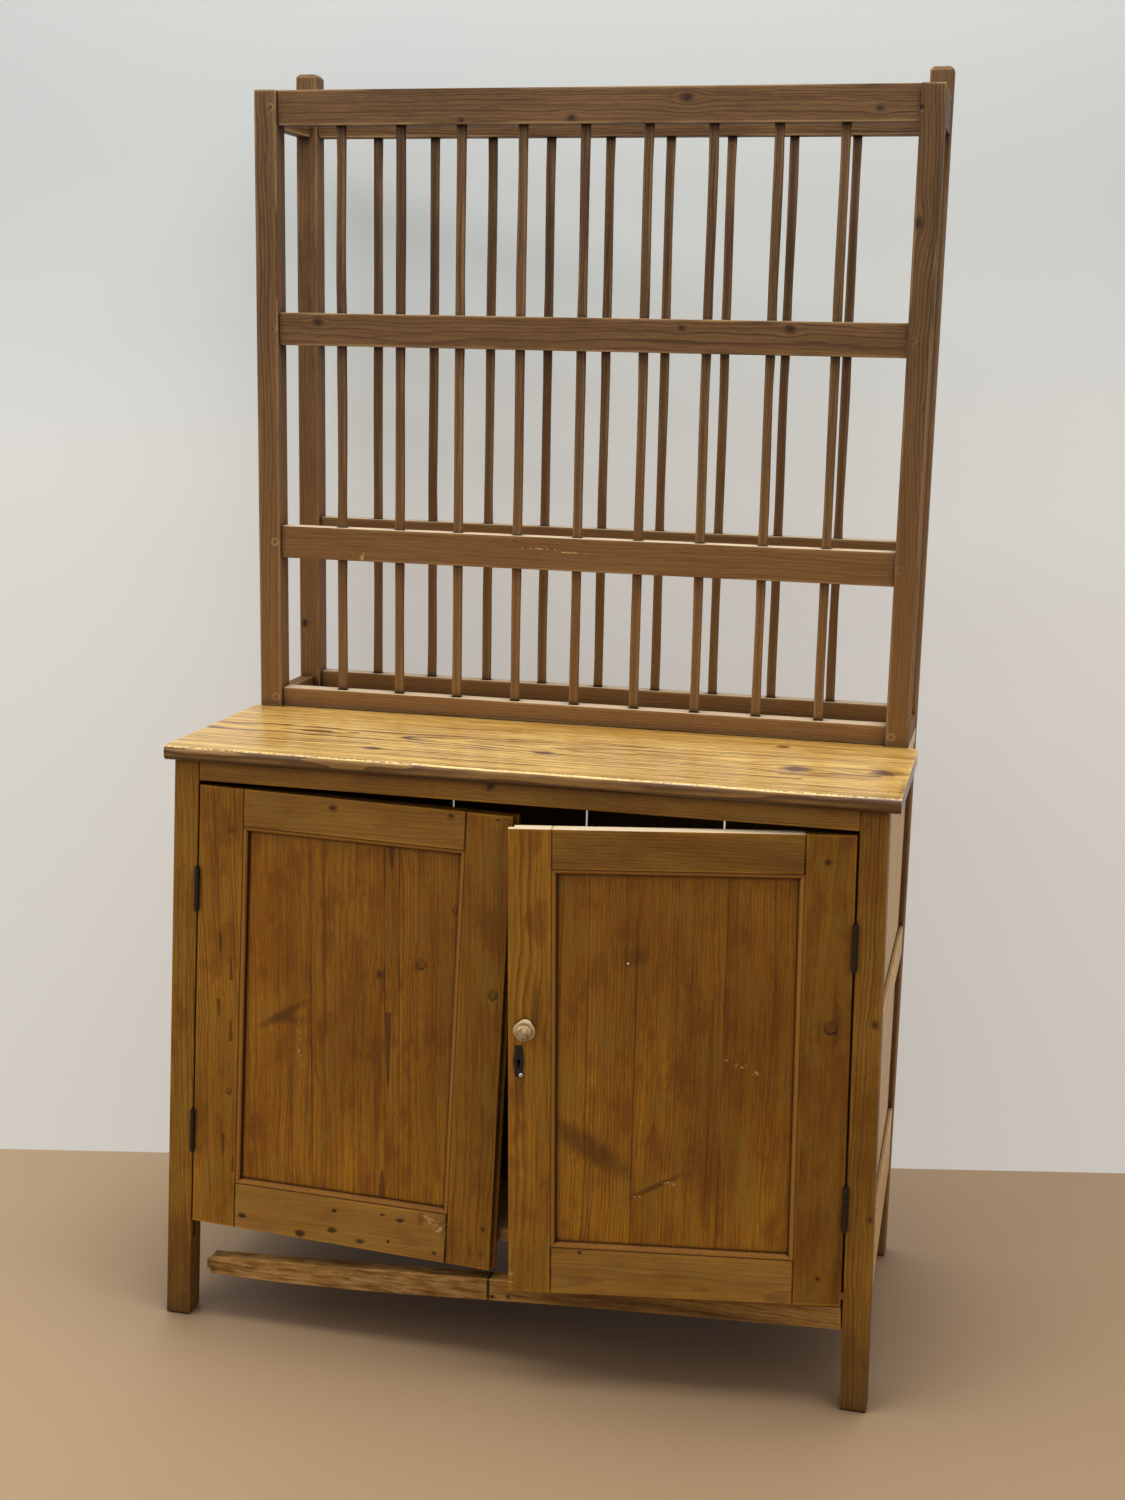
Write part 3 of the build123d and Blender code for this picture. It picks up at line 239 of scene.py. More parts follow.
def wood(name, look, order, seed, pith=(0.09, 0.05), tilt=0.0, ring=0.0046, swing=1.0, ajar=False, pitch=None,
         seams=(), knots=(), stains=(), pockets=(), scars=(), holes=(), ends=(), tint=1.0, pale=0.0,
         worn_and_lit_top=0.0, edges=1.0, darkening=0.03, nose=False, feet=0.0):
    """Old pine.

    order      which way the grain runs
    pith       where the tree's middle lies, across and behind the board
    tilt       how far the pith leans; swing, how much it wanders
    ring       the width of a year ring
    ajar       the grain is that of the shut right door
    pitch      the middle of the first slat or board, and the step to the next
    seams      where the boards of a panel meet
    knots      along, across and radius, and a fourth value where they are open
    stains     along, across, half length, half width, and a slope where they have one
    pockets    the same, with the way they taper
    scars      along, across, half length and half width; holes likewise
    ends       joint lines: place along, lean, and the place across at which the first holds
    tint       makes the wood lighter or darker; pale and worn_and_lit_top whiten it, all over and on top,
               the top with dust, wear and a painted highlight from above
    edges      how bright rubbed edges are; darkening, how far soiling and painted shade reach out of the corners
    nose       the front edge of the table; feet, how high the soil of the floor reaches
    """
    tones = LOOKS[look]
    late_tone, grime_and_shade, streaks, rings = tones["ring"], tones["grime_and_shade"], tones["streaks"], tones["rings"]
    material, net, shader = fresh(name)
    point = net.point()
    if ajar:
        mapping = net.tree.nodes.new("ShaderNodeMapping")
        net.put(mapping.inputs["Vector"], point)
        mapping.inputs["Rotation"].default_value = (0, 0, -DOOR_ANGLE)
        mapping.inputs["Location"].default_value = DOOR_PIN - SHUT @ DOOR_PIN
        point = mapping.outputs[0]
    axes = net.split(point)
    along, across, depth = (axes[i] for i in ORDERS[order])
    randomly = random.Random(seed)
    shift, first_ring = [randomly.uniform(-40, 40) for _ in range(2)]

    # Each slat or board of a node has its own grain and tone.
    tone_shift, seam_mask = 0.0, 0.0
    part_along = net.add(along, shift)
    if pitch:
        cell = net.math("ROUND", net.mul(net.sub(across, pitch[0]), 1 / pitch[1]))
        part_along = net.add(part_along, net.mul(net.white(net.add(cell, seed)), SLAT_SHIFT))
        tone_shift = net.sub(net.mul(net.white(net.add(cell, seed + 0.37)), 1.8), 0.9)
    if seams:
        index = 0.0
        for seam in seams:
            wobble = net.sway(net.noise(net.join(net.mul(along, 3.0), seam * 90, seed), 1.0, 1.0), 0.0015)
            away = net.add(net.sub(across, seam), wobble)
            index = net.add(net.math("GREATER_THAN", away, 0.0), index)
            seam_mask = net.add(net.step(net.math("ABSOLUTE", away), 0.0013, 0.0003), seam_mask)
        part_along = net.add(part_along, net.mul(index, BOARD_SHIFT))
        tone_shift = net.sub(net.mul(net.white(net.add(index, seed + 0.71)), 0.9), 0.45)

    # Knots push the rings aside.
    bent = across
    knot_mask, knot_rings = 0.0, 0.0
    ragged = net.noise(net.scaled(along, across, depth, (0.008, 0.0045, 0.008)), 1.0, 2.0)
    for at, over, radius, *kind in knots:
        da, du = net.sub(along, at), net.sub(across, over)
        reach = net.add(net.squared(da, 3.4 * radius), net.squared(du, 1.9 * radius))
        push = net.math("EXPONENT", net.mul(reach, -1.0))
        bent = net.sub(bent, net.mul(net.mul(du, 0.94), push))
        core = net.math("SQRT", net.add(net.squared(da, 1.2 * radius), net.squared(du, radius)))
        core = net.add(core, net.sway(ragged, 1.1))
        if kind:
            open_ring = net.mul(net.step(core, 0.55, 0.9), net.step(core, 1.35, 0.95))
            open_ring = net.mul(open_ring, net.step(da, radius, -radius, 0.25, 0.85))
            knot_rings = net.math("MAXIMUM", open_ring, knot_rings)
            knot_mask = net.math("MAXIMUM", net.step(core, 1.5, 0.4, 0.0, 0.55), knot_mask)
        else:
            knot_mask = net.math("MAXIMUM", net.step(core, 1.7, 0.5), knot_mask)
            knot_rings = net.math("MAXIMUM", net.mul(net.step(core, 0.95, 0.1), 0.8), knot_rings)

    def layer(kind):
        long, narrow, detail, rough, bends = LAYERS[kind]
        sizes = (long, narrow, narrow)
        return net.noise(net.scaled(part_along, bent if bends else across, depth, sizes), 1.0, detail, rough)

    # Year rings round a pith that wanders and leans a little.
    wander = net.noise(net.scaled(part_along, across, depth, (0.34 / swing, 0.16, 0.16)), 1.0, 3.0, 0.5, colour=True)
    wander = net.split(wander)
    u = net.add(net.sub(bent, pith[0]), net.sway(wander[0], 0.030))
    v = net.add(net.sub(net.sub(depth, pith[1]), net.mul(along, tilt)), net.sway(wander[1], 0.024 * swing))
    distance = net.math("SQRT", net.add(net.mul(u, u), net.mul(v, v)))
    stretch = net.noise(net.join(net.mul(distance, 1 / 0.04), seed, 0.0), 1.0, 2.0)
    count = net.add(net.add(net.mul(distance, 1 / ring), net.mul(stretch, 6.0)), first_ring)
    count = net.add(count, net.mul(layer("waver"), 0.55))
    phase = net.math("FRACT", count)
    late = net.mul(net.step(phase, 0.25, 0.93), net.step(phase, 1.0, 0.94))
    late = net.mul(late, net.math("MULTIPLY_ADD", net.white(net.add(net.math("FLOOR", count), seed)), 0.95, 0.30))

    # Tone of the early wood, then the late wood and the dark strands.
    fibre, comb, streak, hair, patch, wide = map(layer, ("fibre", "comb", "streak", "hair", "patch", "wide"))
    tone = net.add(net.sway(patch, 2.6), net.sway(wide, 1.4))
    for noise, weight in ((streak, 2.0), (comb, 2.2), (hair, 2.2), (fibre, 3.0)):
        tone = net.add(tone, net.sway(noise, weight * streaks))
    tone = net.math("MULTIPLY_ADD", net.add(tone, tone_shift), 0.5, 0.5, clamp=True)
    colour = net.mix(tone, linear(tones["mid"], tint), linear(tones["light"], tint))
    colour = net.over(colour, net.mul(late, net.step(wide, 0.25, 0.75, rings * 0.55, rings * 1.25)), late_tone)
    for noise, start, end, share in ((fibre, 0.46, 0.28, 0.55), (comb, 0.46, 0.28, 0.40), (streak, 0.40, 0.27, 0.55)):
        colour = net.over(colour, net.step(noise, start, end, 0.0, share * streaks), late_tone)
    if look == "weathered":
        flakes = layer("flakes")
        colour = net.over(colour, net.step(flakes, 0.48, 0.34, 0.0, 0.50), "flake")
        pale_end = net.step(along, 0.02, -0.12, 0.10, 0.50)
        colour = net.over(colour, net.mul(net.step(flakes, 0.44, 0.64), pale_end), "pale flake")
    if look in BROWN:
        cloud = layer("cloud")
        colour = net.over(colour, net.step(cloud, 0.50, 0.66, 0.0, 0.50), "red cloud")
        colour = net.over(colour, net.step(cloud, 0.50, 0.34, 0.0, 0.42), "olive cloud")
    if look == "rack":
        if pitch:
            colour = net.over(colour, net.mul(net.white(net.add(cell, seed + 0.53)), 0.50), "dark slat")
        # Lighter and warmer towards the rack's foot: painted bounce light from the table below.
        low = net.step(net.add(axes[2], net.mul(patch, 0.2)), 1.72, 1.0, 0.0, 0.40)
        colour = net.over(colour, low, "bounce light low in the rack")
    if pale:
        colour = net.over(colour, net.step(patch, 0.25, 0.7, pale * 0.6, pale * 1.2), "pale wood")
    if knots:
        colour = net.over(colour, net.mul(knot_mask, 0.92 if look == "table" else 0.70), late_tone)
        colour = net.over(colour, knot_rings, grime_and_shade)

    # Marks, and the relief of the surface.
    height = net.add(net.mul(late, -0.45), net.mul(fibre, 0.8))
    hollows = net.noise(net.scaled(along, across, depth, (0.05, 0.012, 0.012)), 1.0, 2.0)
    height = net.add(height, net.mul(hollows, 1.2))

    def mark(at, over, half_along, half_across, soft, slope=0.0):
        level = net.sub(along, net.mul(net.sub(across, over), slope)) if slope else along
        reach = net.math("SQRT", net.add(net.squared(net.sub(level, at), half_along),
                                         net.squared(net.sub(across, over), half_across)))
        return net.step(net.add(reach, net.sway(ragged, 0.9)), 1.0 + soft, 1.0 - soft)

    for at, over, half_along, half_across, *slope in stains:
        share = 0.70 if slope else 0.55 if half_along * half_across < 0.001 else 0.28
        place = mark(at, over, half_along, half_across, 0.6 if slope else 0.9, *slope)
        colour = net.over(colour, net.mul(place, share), late_tone)
    for at, over, half_along, half_across, taper in pockets:
        place = net.math("MULTIPLY_ADD", net.sub(along, at), 0.5 * taper / half_along, 0.5, clamp=True)
        width = net.math("MULTIPLY_ADD", net.math("SQRT", place), half_across, 0.0002)
        inside = net.step(net.math("DIVIDE", net.math("ABSOLUTE", net.sub(across, over)), width), 1.15, 0.75)
        inside = net.mul(inside, net.step(net.math("ABSOLUTE", net.sub(along, at)), half_along, half_along * 0.93))
        colour = net.over(colour, net.mul(inside, 0.8), late_tone)
        height = net.sub(height, net.mul(inside, 1.0))
    broken = net.noise(net.scaled(along, across, depth, (0.005, 0.005, 0.005)), 1.0, 2.0, 0.7)
    for scar in scars:
        share = net.mul(mark(*scar, 0.35), net.step(broken, 0.50, 0.60))
        colour = net.over(colour, net.mul(share, 0.85), "scar")
        height = net.sub(height, net.mul(share, 3.0))
    for at, over, half_along, half_across in holes:
        share = mark(at, over, 0.85 * half_along, 0.85 * half_across, 0.45)
        colour = net.over(colour, net.mul(share, net.step(broken, 0.35, 0.65, 1.0, 0.75)), "hole")
        height = net.sub(height, net.mul(share, 4.0))
    if seams:
        closed = net.noise(net.join(net.mul(along, 9.0), net.mul(across, 20.0), seed), 1.0, 2.0)
        seam_mask = net.mul(seam_mask, net.step(closed, 0.36, 0.62, 0.12, 0.62))
        colour = net.over(colour, seam_mask, grime_and_shade)
        height = net.sub(height, net.mul(seam_mask, 3.0))
    for end, lean, level in ends:
        place = net.sub(along, net.mul(net.sub(across, level), lean))
        line = net.step(net.math("ABSOLUTE", net.sub(place, end)), 0.0026, 0.0012)
        colour = net.over(colour, net.mul(line, 0.95), grime_and_shade)
        height = net.sub(height, net.mul(line, 5.0))

    # Tops paled by dust and wear and by a painted highlight from above; rubbed edges; corners and cracks darkened by
    # soiling and by painted shade.
    normal = net.normal()
    # The top faces are paler: dust and wear, and a painted highlight of the light from above.
    if worn_and_lit_top:
        lit = net.mul(net.step(normal[2], 0.55, 0.9), net.step(fibre, 0.25, 0.6, worn_and_lit_top * 0.6, worn_and_lit_top))
        colour = net.over(colour, lit, "worn, dusty and lit top")
    rubbed = net.mul(net.step(net.occlusion(0.004, inside=True), 0.93, 0.60), net.step(patch, 0.35, 0.6))
    bright = "rubbed rack edge" if look == "rack" else [min(255, c * 1.15) for c in tones["light"]]
    colour = net.over(colour, net.mul(rubbed, edges * (0.50 if look == "rack" else 0.40)), bright)
    # Darker towards the corners and in the cracks: soiling, and painted shade where the light is shut out.
    colour = net.over(colour, net.step(net.occlusion(darkening), 0.85, 0.25, 0.0, 0.9), grime_and_shade)
    crack_dirt_and_shade = 0.45 if look == "rack" else 0.85
    colour = net.over(colour, net.step(net.occlusion(0.005), 0.90, 0.45, 0.0, crack_dirt_and_shade), grime_and_shade)
    # The bead is painted by the way it faces: a painted highlight on its front crest, painted shade on the sides that
    # turn away, and painted shade in the groove at its foot.
    if look == "bead":
        turn = net.mul(normal[1], -1.0)
        colour = net.over(colour, net.step(turn, 0.92, 0.99, 0.0, 0.60), "bead crest highlight")
        away = net.mul(net.step(turn, 0.84, 0.50, 0.0, 0.90), net.step(normal[2], 0.60, 0.15, 0.25, 1.0))
        colour = net.over(colour, away, "bead side shade")
        colour = net.over(colour, net.step(net.occlusion(0.004), 0.99, 0.80, 0.0, 0.95), "bead foot shade")
    # The table's front edge is painted darker than its top, with rings and streaks of its own; painted shade on its
    # underside, a painted highlight along its top arris, and a darker end by the corner.
    if nose:
        front = net.step(normal[2], 0.74, 0.50)
        colour = net.over(colour, net.mul(front, 0.88), "nose")
        colour = net.over(colour, net.mul(front, net.mul(late, 0.55)), "nose rings")
        colour = net.over(colour, net.mul(front, net.step(streak, 0.46, 0.34, 0.0, 0.7)), "nose streaks")
        colour = net.over(colour, net.mul(front, net.step(normal[2], 0.1, -0.5)), "nose underside shade")
        edge = net.mul(net.step(normal[2], 0.64, 0.80), net.step(normal[2], 0.95, 0.88))
        colour = net.over(colour, net.mul(edge, net.step(broken, 0.40, 0.62, 0.15, 0.85)), "nose arris highlight")
        corner = net.step(along, table_corner.x - 0.085, table_corner.x - 0.020)
        corner = net.mul(corner, net.step(normal[2], 0.95, 0.70))
        colour = net.over(colour, net.mul(corner, 0.85), "nose corner")
    if feet:
        soil = net.add(net.step(axes[2], feet, 0.0), net.sway(patch, 0.5))
        colour = net.over(colour, net.math("MULTIPLY", soil, 0.55, clamp=True), "soil")
    specks = net.noise(net.scaled(along, across, depth, (0.004, 0.003, 0.004)), 1.0, 1.0)
    colour = net.over(colour, net.step(specks, 0.70, 0.78, 0.0, 0.5), grime_and_shade)

    net.put(shader.inputs["Base Color"], colour)
    rough = net.add(net.sway(patch, 0.25), tones["rough"])
    net.put(shader.inputs["Roughness"], net.add(rough, net.mul(late, -0.06)))
    net.bump(shader, 0.6, 0.0006, height)
    shader.inputs["Specular IOR Level"].default_value = tones["gloss"]
    if look == "table":
        shader.inputs["Coat Weight"].default_value = 0.18
        shader.inputs["Coat Roughness"].default_value = 0.28
    return material


# ---- iron and the knob --------------------------------------------------------------------------
def iron(name, scale=260.0):
    """Dark forged iron with a little rust."""
    material, net, shader = fresh(name)
    point = net.point()
    rust = net.noise(point, scale, 4.0, 0.65)
    pits = net.noise(point, 1400.0, 2.0, 0.6)
    colour = net.mix(net.step(rust, 0.45, 0.68), linear((30, 26, 19)), linear((56, 34, 20)))
    colour = net.over(colour, net.step(net.occlusion(0.008), 0.8, 0.3, 0.0, 0.8), "iron dirt")
    net.put(shader.inputs["Base Color"], colour)
    shader.inputs["Metallic"].default_value = 0.35
    net.put(shader.inputs["Roughness"], net.step(rust, 0.35, 0.7, 0.42, 0.75))
    net.bump(shader, 0.5, 0.0003, net.add(pits, rust))
    return material


def bright_iron(name):
    """The rubbed head of a round nail."""
    material, net, shader = fresh(name)
    rub = net.noise(net.point(), 900.0, 3.0, 0.6)
    colour = net.mix(net.step(rub, 0.4, 0.65), linear((214, 206, 190)), linear((150, 132, 104)))
    net.put(shader.inputs["Base Color"], colour)
    shader.inputs["Metallic"].default_value = 0.85
    net.put(shader.inputs["Roughness"], net.step(rub, 0.3, 0.7, 0.18, 0.42))
    return material


def turned_wood(name, foot, towards):
    """Pale turned wood, worn smooth, with a soiled face and painted shade in its groove."""
    material, net, shader = fresh(name)
    point = net.point()
    axes = net.split(point)
    cloud = net.noise(point, 120.0, 3.0, 0.6)
    grain = net.noise(net.join(net.mul(axes[0], 900.0), net.mul(axes[1], 900.0), net.mul(axes[2], 120.0)), 1.0, 2.0)
    colour = net.mix(net.step(cloud, 0.35, 0.65), linear((186, 156, 106)), linear((222, 200, 156)))
    colour = net.over(colour, net.step(grain, 0.45, 0.75, 0.0, 0.35), "knob grain")
    reach = [net.mul(net.sub(axes[i], foot[i]), towards[i]) for i in range(3)]
    reach = net.add(net.add(reach[0], reach[1]), reach[2])
    face = net.mul(net.step(reach, 0.0170, 0.0250), net.step(cloud, 0.30, 0.62, 1.0, 0.55))
    colour = net.over(colour, face, "knob face")
    # Darker in the groove and where the knob meets the door: painted shade.
    colour = net.over(colour, net.step(net.occlusion(0.0035), 0.80, 0.35, 0.0, 0.9), "knob dirt")
    net.put(shader.inputs["Base Color"], colour)
    net.put(shader.inputs["Roughness"], net.step(cloud, 0.3, 0.7, 0.32, 0.5))
    net.bump(shader, 0.3, 0.0002, net.add(grain, cloud))
    return material


# ---- pieces of the CAD part ---------------------------------------------------------------------
def dress(node, material, worn=0.0):
    """Give a CAD piece its material. Where it is worn, it is joined up again and its sharp edges are rounded."""
    piece = nodes[node]
    piece.data.materials.clear()
    piece.data.materials.append(material)
    if not worn:
        return
    weld = piece.modifiers.new("weld", "WELD")
    weld.merge_threshold = 0.00001
    bevel = piece.modifiers.new("worn", "BEVEL")
    bevel.width, bevel.segments = worn, 2
    bevel.limit_method, bevel.angle_limit = "ANGLE", math.radians(38)
    bevel.use_clamp_overlap = True
    bevel.harden_normals = False
    normals = piece.modifiers.new("faces", "WEIGHTED_NORMAL")
    normals.mode, normals.weight, normals.keep_sharp = "FACE_AREA", 100, False


def door_ends(rail):
    """Where a door's rail meets its stiles, along the shut door, and how far the joint leans."""
    side = rail.split("_")[0]
    lean = UPRIGHT_LEAN[side]
    back = SHUT if side == "right" else Matrix.Identity(3)
    low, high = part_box(rail)
    level = (low.z + high.z) / 2
    points = [back @ (v.co - DOOR_PIN) + DOOR_PIN for v in nodes[rail].data.vertices]
    along = [p.x - lean * (p.z - level) for p in points]
    return (min(along) + TENON, lean, level), (max(along) - TENON, lean, level)


WOOD = {
    # doors
    "left_door_hinge_stile": dict(
        look="cupboard", order="z", pith=(-0.500, post_front + 0.030), tilt=0.010, ring=0.0042, swing=1.3,
        tint=0.94,
        knots=((0.7596, -0.4064, 0.0045, 1), (0.3654, -0.4176, 0.0040, 1)),
        pockets=((0.589, -0.427, 0.016, 0.0024, 1), (0.552, -0.411, 0.018, 0.0026, -1),
                 (0.491, -0.431, 0.015, 0.0024, 1), (0.459, -0.413, 0.017, 0.0028, -1),
                 (0.282, -0.428, 0.016, 0.0026, 1), (0.254, -0.413, 0.015, 0.0024, -1))),
    "left_door_lock_stile": dict(
        look="panel", order="z", pith=(0.02, post_front + 0.08), tint=0.74,
        knots=((0.5527, -0.0211, 0.0062, 1), (0.2002, -0.0312, 0.0030)),
        stains=((0.1644, -0.0502, 0.012, 0.003), (0.1604, -0.0345, 0.008, 0.003),
                # The long mark along the stile's edge by the right door is painted shade.
                (0.70, -0.008, 0.16, 0.009)),
        holes=((0.8027, -0.0167, 0.002, 0.002),)),
    "left_door_top_rail": dict(
        look="panel", order="x", pith=(0.86, post_front + 0.05), tint=0.78, pale=0.20,
        knots=((-0.2549, 0.8018, 0.0050), (-0.0836, 0.8038, 0.0042)),
        ends=door_ends("left_door_top_rail")),
    "left_door_bottom_rail": dict(
        look="cupboard", order="x", pith=(0.10, post_front + 0.03), tint=1.05, pale=0.42,
        stains=((-0.1233, 0.2045, 0.004, 0.010), (-0.085, 0.196, 0.012, 0.014)),
        scars=((-0.095, 0.201, 0.022, 0.007), (-0.089, 0.190, 0.014, 0.006), (-0.105, 0.209, 0.016, 0.004)),
        holes=((-0.3991, 0.172, 0.007, 0.005), (-0.256, 0.1989, 0.0045, 0.0035),
               (-0.3089, 0.1556, 0.0085, 0.0065), (-0.2592, 0.1678, 0.0085, 0.005),
               (-0.2153, 0.1557, 0.007, 0.0045), (-0.1543, 0.1968, 0.007, 0.004),
               (-0.1732, 0.1615, 0.003, 0.003), (-0.1034, 0.1532, 0.004, 0.0035),
               (-0.1816, 0.2025, 0.004, 0.002)),
        ends=door_ends("left_door_bottom_rail")),
    "left_door_panel": dict(
        look="panel", order="z", pith=(-0.60, post_front + 0.35), ring=0.0050, tint=1.12, darkening=0.05,
        seams=(-0.2928, -0.1817, -0.1605),
        knots=((0.563, -0.1889, 0.0055), (0.5845, -0.1283, 0.0068, 1), (0.6677, -0.0793, 0.0042, 1)),
        stains=((0.4880, -0.3360, 0.0075, 0.034, 0.62), (0.482, -0.326, 0.007, 0.024),
                (0.545, -0.1855, 0.020, 0.004), (0.60, -0.262, 0.20, 0.05), (0.44, -0.245, 0.10, 0.045),
                (0.66, -0.12, 0.26, 0.09), (0.50, -0.09, 0.16, 0.05)),
        pockets=((0.4515, -0.1768, 0.058, 0.0052, 1), (0.735, -0.1715, 0.020, 0.0046, 1),
                 (0.245, -0.1856, 0.024, 0.0054, -1)),
        scars=((0.437, -0.3118, 0.040, 0.0012), (0.430, -0.3075, 0.025, 0.001))),
    "left_door_bead": dict(look="bead", order="z"),
    "right_door_hinge_stile": dict(
        look="panel", order="z", ajar=True, pith=(0.455, post_front + 0.03), tilt=0.015, ring=0.005, tint=0.66,
        knots=((0.783, 0.4338, 0.0042), (0.5558, 0.4492, 0.0080, 1), (0.1945, 0.4477, 0.0030))),
    "right_door_lock_stile": dict(
        look="cupboard", order="z", ajar=True, pith=(0.12, post_front + 0.11), tint=0.92, worn_and_lit_top=1.5,
        # The first mark, above and right of the knob, is the knob's painted shadow.
        stains=((0.566, 0.0537, 0.030, 0.006), (0.455, 0.034, 0.03, 0.006)),
        scars=((0.1700, 0.022, 0.012, 0.009),)),
    "right_door_top_rail": dict(
        look="panel", order="x", ajar=True, pith=(0.90, post_front + 0.07), tint=0.60, pale=0.12, worn_and_lit_top=1.2,
        ends=door_ends("right_door_top_rail")),
    "right_door_bottom_rail": dict(
        look="cupboard", order="x", ajar=True, pith=(0.16, post_front + 0.035), tint=0.96, pale=0.34,
        knots=((0.12, 0.212, 0.0025),),
        ends=door_ends("right_door_bottom_rail")),
    "right_door_panel": dict(
        look="panel", order="z", ajar=True, pith=(0.95, post_front + 0.4), ring=0.0044, tint=1.0, darkening=0.06,
        seams=(0.1873, 0.3063),
        stains=((0.640, 0.186, 0.011, 0.017), (0.312, 0.222, 0.0040, 0.034, 0.54),
                (0.362, 0.130, 0.020, 0.050, -0.6), (0.347, 0.285, 0.035, 0.030), (0.60, 0.33, 0.18, 0.07),
                (0.42, 0.27, 0.12, 0.05), (0.64, 0.17, 0.16, 0.09)),
        scars=((0.5003, 0.3163, 0.0025, 0.007), (0.492, 0.335, 0.0025, 0.012), (0.483, 0.352, 0.003, 0.008),
               (0.2955, 0.1935, 0.0018, 0.009), (0.317, 0.241, 0.0030, 0.009))),
    "right_door_bead": dict(look="bead", order="z", ajar=True),
    # posts, rails, boards and the table
    "front_left_post": dict(look="post", order="z", pith=(-0.60, post_front + 0.12), ring=0.0038, feet=0.22),
    "front_right_post": dict(
        look="post", order="z", pith=(0.62, post_front + 0.10), ring=0.0042, tint=0.84, feet=0.22,
        knots=((0.2877, 0.5133, 0.0045), (0.5648, 0.5053, 0.005))),
    "rear_left_post": dict(
        look="rack", order="z", pith=(-0.55, 0.34), tint=1.12,
        knots=((0.9846, -0.4841, 0.006),)),
    "rear_right_post": dict(look="rack", order="z", pith=(0.60, 0.34)),
    "front_apron": dict(
        look="cupboard", order="x", pith=(0.90, post_front + 0.03), tint=0.80, pale=0.2,
        knots=((-0.029, 0.8487, 0.0055),)),
    "front_bottom_rail": dict(
        look="weathered", order="x", pith=(0.05, post_front + 0.05),
        knots=((-0.0161, 0.0972, 0.0034), (0.0077, 0.1006, 0.0032)),
        stains=((-0.30, 0.112, 0.10, 0.006), (0.25, 0.118, 0.16, 0.006),
                (rail_end.x + 0.004, rail_end.z + 0.025, 0.014, 0.03), (0.12, 0.10, 0.06, 0.01),
                (0.36, 0.10, 0.08, 0.012)),
        ends=((-0.0222, 0.0, 0.1),)),
    "rear_top_rail": dict(look="raw", order="x"),
    "rear_bottom_rail": dict(look="raw", order="x"),
    "back_boards": dict(look="raw", order="z", pitch=(-0.345, 0.226)),
    "floor_bearers": dict(look="raw", order="y"),
    "floor_boards": dict(look="raw", order="flat"),
    "shelf_bearers": dict(look="raw", order="y"),
    "shelf_boards": dict(look="raw", order="flat"),
    "table_front_board": dict(
        look="table", order="flat", pith=(-0.06, 0.815), tilt=0.022, ring=0.0062, nose=True,
        knots=((0.3726, -0.0894, 0.017), (0.4900, -0.079, 0.016), (-0.22, -0.15, 0.009),
               (0.02, -0.10, 0.008)),
        stains=((table_corner.x - 0.012, table_corner.y + 0.004, 0.040, 0.011),
                (table_corner.x, -0.17, 0.006, 0.06)),
        pockets=((0.30, -0.150, 0.09, 0.004, 1), (0.20, -0.060, 0.06, 0.003, -1),
                 (-0.30, -0.120, 0.07, 0.003, 1), (0.42, -0.125, 0.07, 0.004, -1),
                 (-0.05, -0.185, 0.08, 0.003, 1), (0.10, -0.02, 0.05, 0.003, 1),
                 (0.440, -0.103, 0.050, 0.005, 1), (0.452, -0.062, 0.042, 0.004, 1))),
    "table_rear_board": dict(
        look="table", order="flat", pith=(0.20, 0.83), tilt=-0.010, ring=0.0056,
        knots=((0.335, 0.055, 0.008),)),
    # rack
    "rack_front_top_rail": dict(
        look="rack", order="x", pith=(1.70, rack_front + 0.04), tint=0.98,
        knots=((0.1526, 1.7815, 0.0075), (-0.0128, 1.7545, 0.0055), (-0.1769, 1.7529, 0.0035),
               (0.4211, 1.7647, 0.0045))),
    "rack_front_upper_rail": dict(
        look="rack", order="x", pith=(1.42, rack_front + 0.05), worn_and_lit_top=0.45,
        knots=((-0.3975, 1.4649, 0.0065), (0.311, 1.4671, 0.006), (0.1556, 1.4658, 0.004))),
    # The rack's lower rails are tinted lighter: painted bounce light from the table below.
    "rack_front_lower_rail": dict(
        look="rack", order="x", pith=(1.20, rack_front + 0.05), tint=1.04, worn_and_lit_top=0.90,
        scars=((-0.3267, 1.1157, 0.005, 0.008), (-0.05, 1.141, 0.03, 0.0012), (0.00, 1.137, 0.02, 0.001))),
    "rack_front_bottom_rail": dict(
        look="rack", order="x", pith=(0.86, rack_front + 0.03), tint=1.34, worn_and_lit_top=0.70),
    "rack_rear_top_rail": dict(look="rack", order="x"),
    "rack_rear_upper_rail": dict(look="rack", order="x", worn_and_lit_top=0.45),
    "rack_rear_lower_rail": dict(look="rack", order="x", worn_and_lit_top=0.75),
    "rack_rear_bottom_rail": dict(look="rack", order="x", worn_and_lit_top=0.60),
    "rack_left_stile": dict(
        look="rack", order="z", pith=(-0.56, rack_front + 0.08),
        holes=((1.768, -0.4692, 0.0035, 0.003),)),
    "rack_right_stile": dict(
        look="rack", order="z", pith=(0.55, rack_front + 0.06), ring=0.004, tint=0.86,
        knots=((1.6123, 0.4817, 0.0075),),
        holes=((1.7633, 0.478, 0.0045, 0.0035),)),
    "rack_top_side_rails": dict(look="rack", order="y"),
    "rack_foot_side_rails": dict(look="rack", order="y"),
    "rack_pegs": dict(look="rack", order="y", tint=0.8, edges=0.0),
}
for side in ("left", "right"):
    for level in ("top", "middle", "bottom"):
        WOOD[f"{side}_{level}_side_rail"] = dict(look="side", order="y", pith=(0.5, 0.0))
    WOOD[f"{side}_side_panels"] = dict(look="side", order="z", pith=(0.3, 0.2))

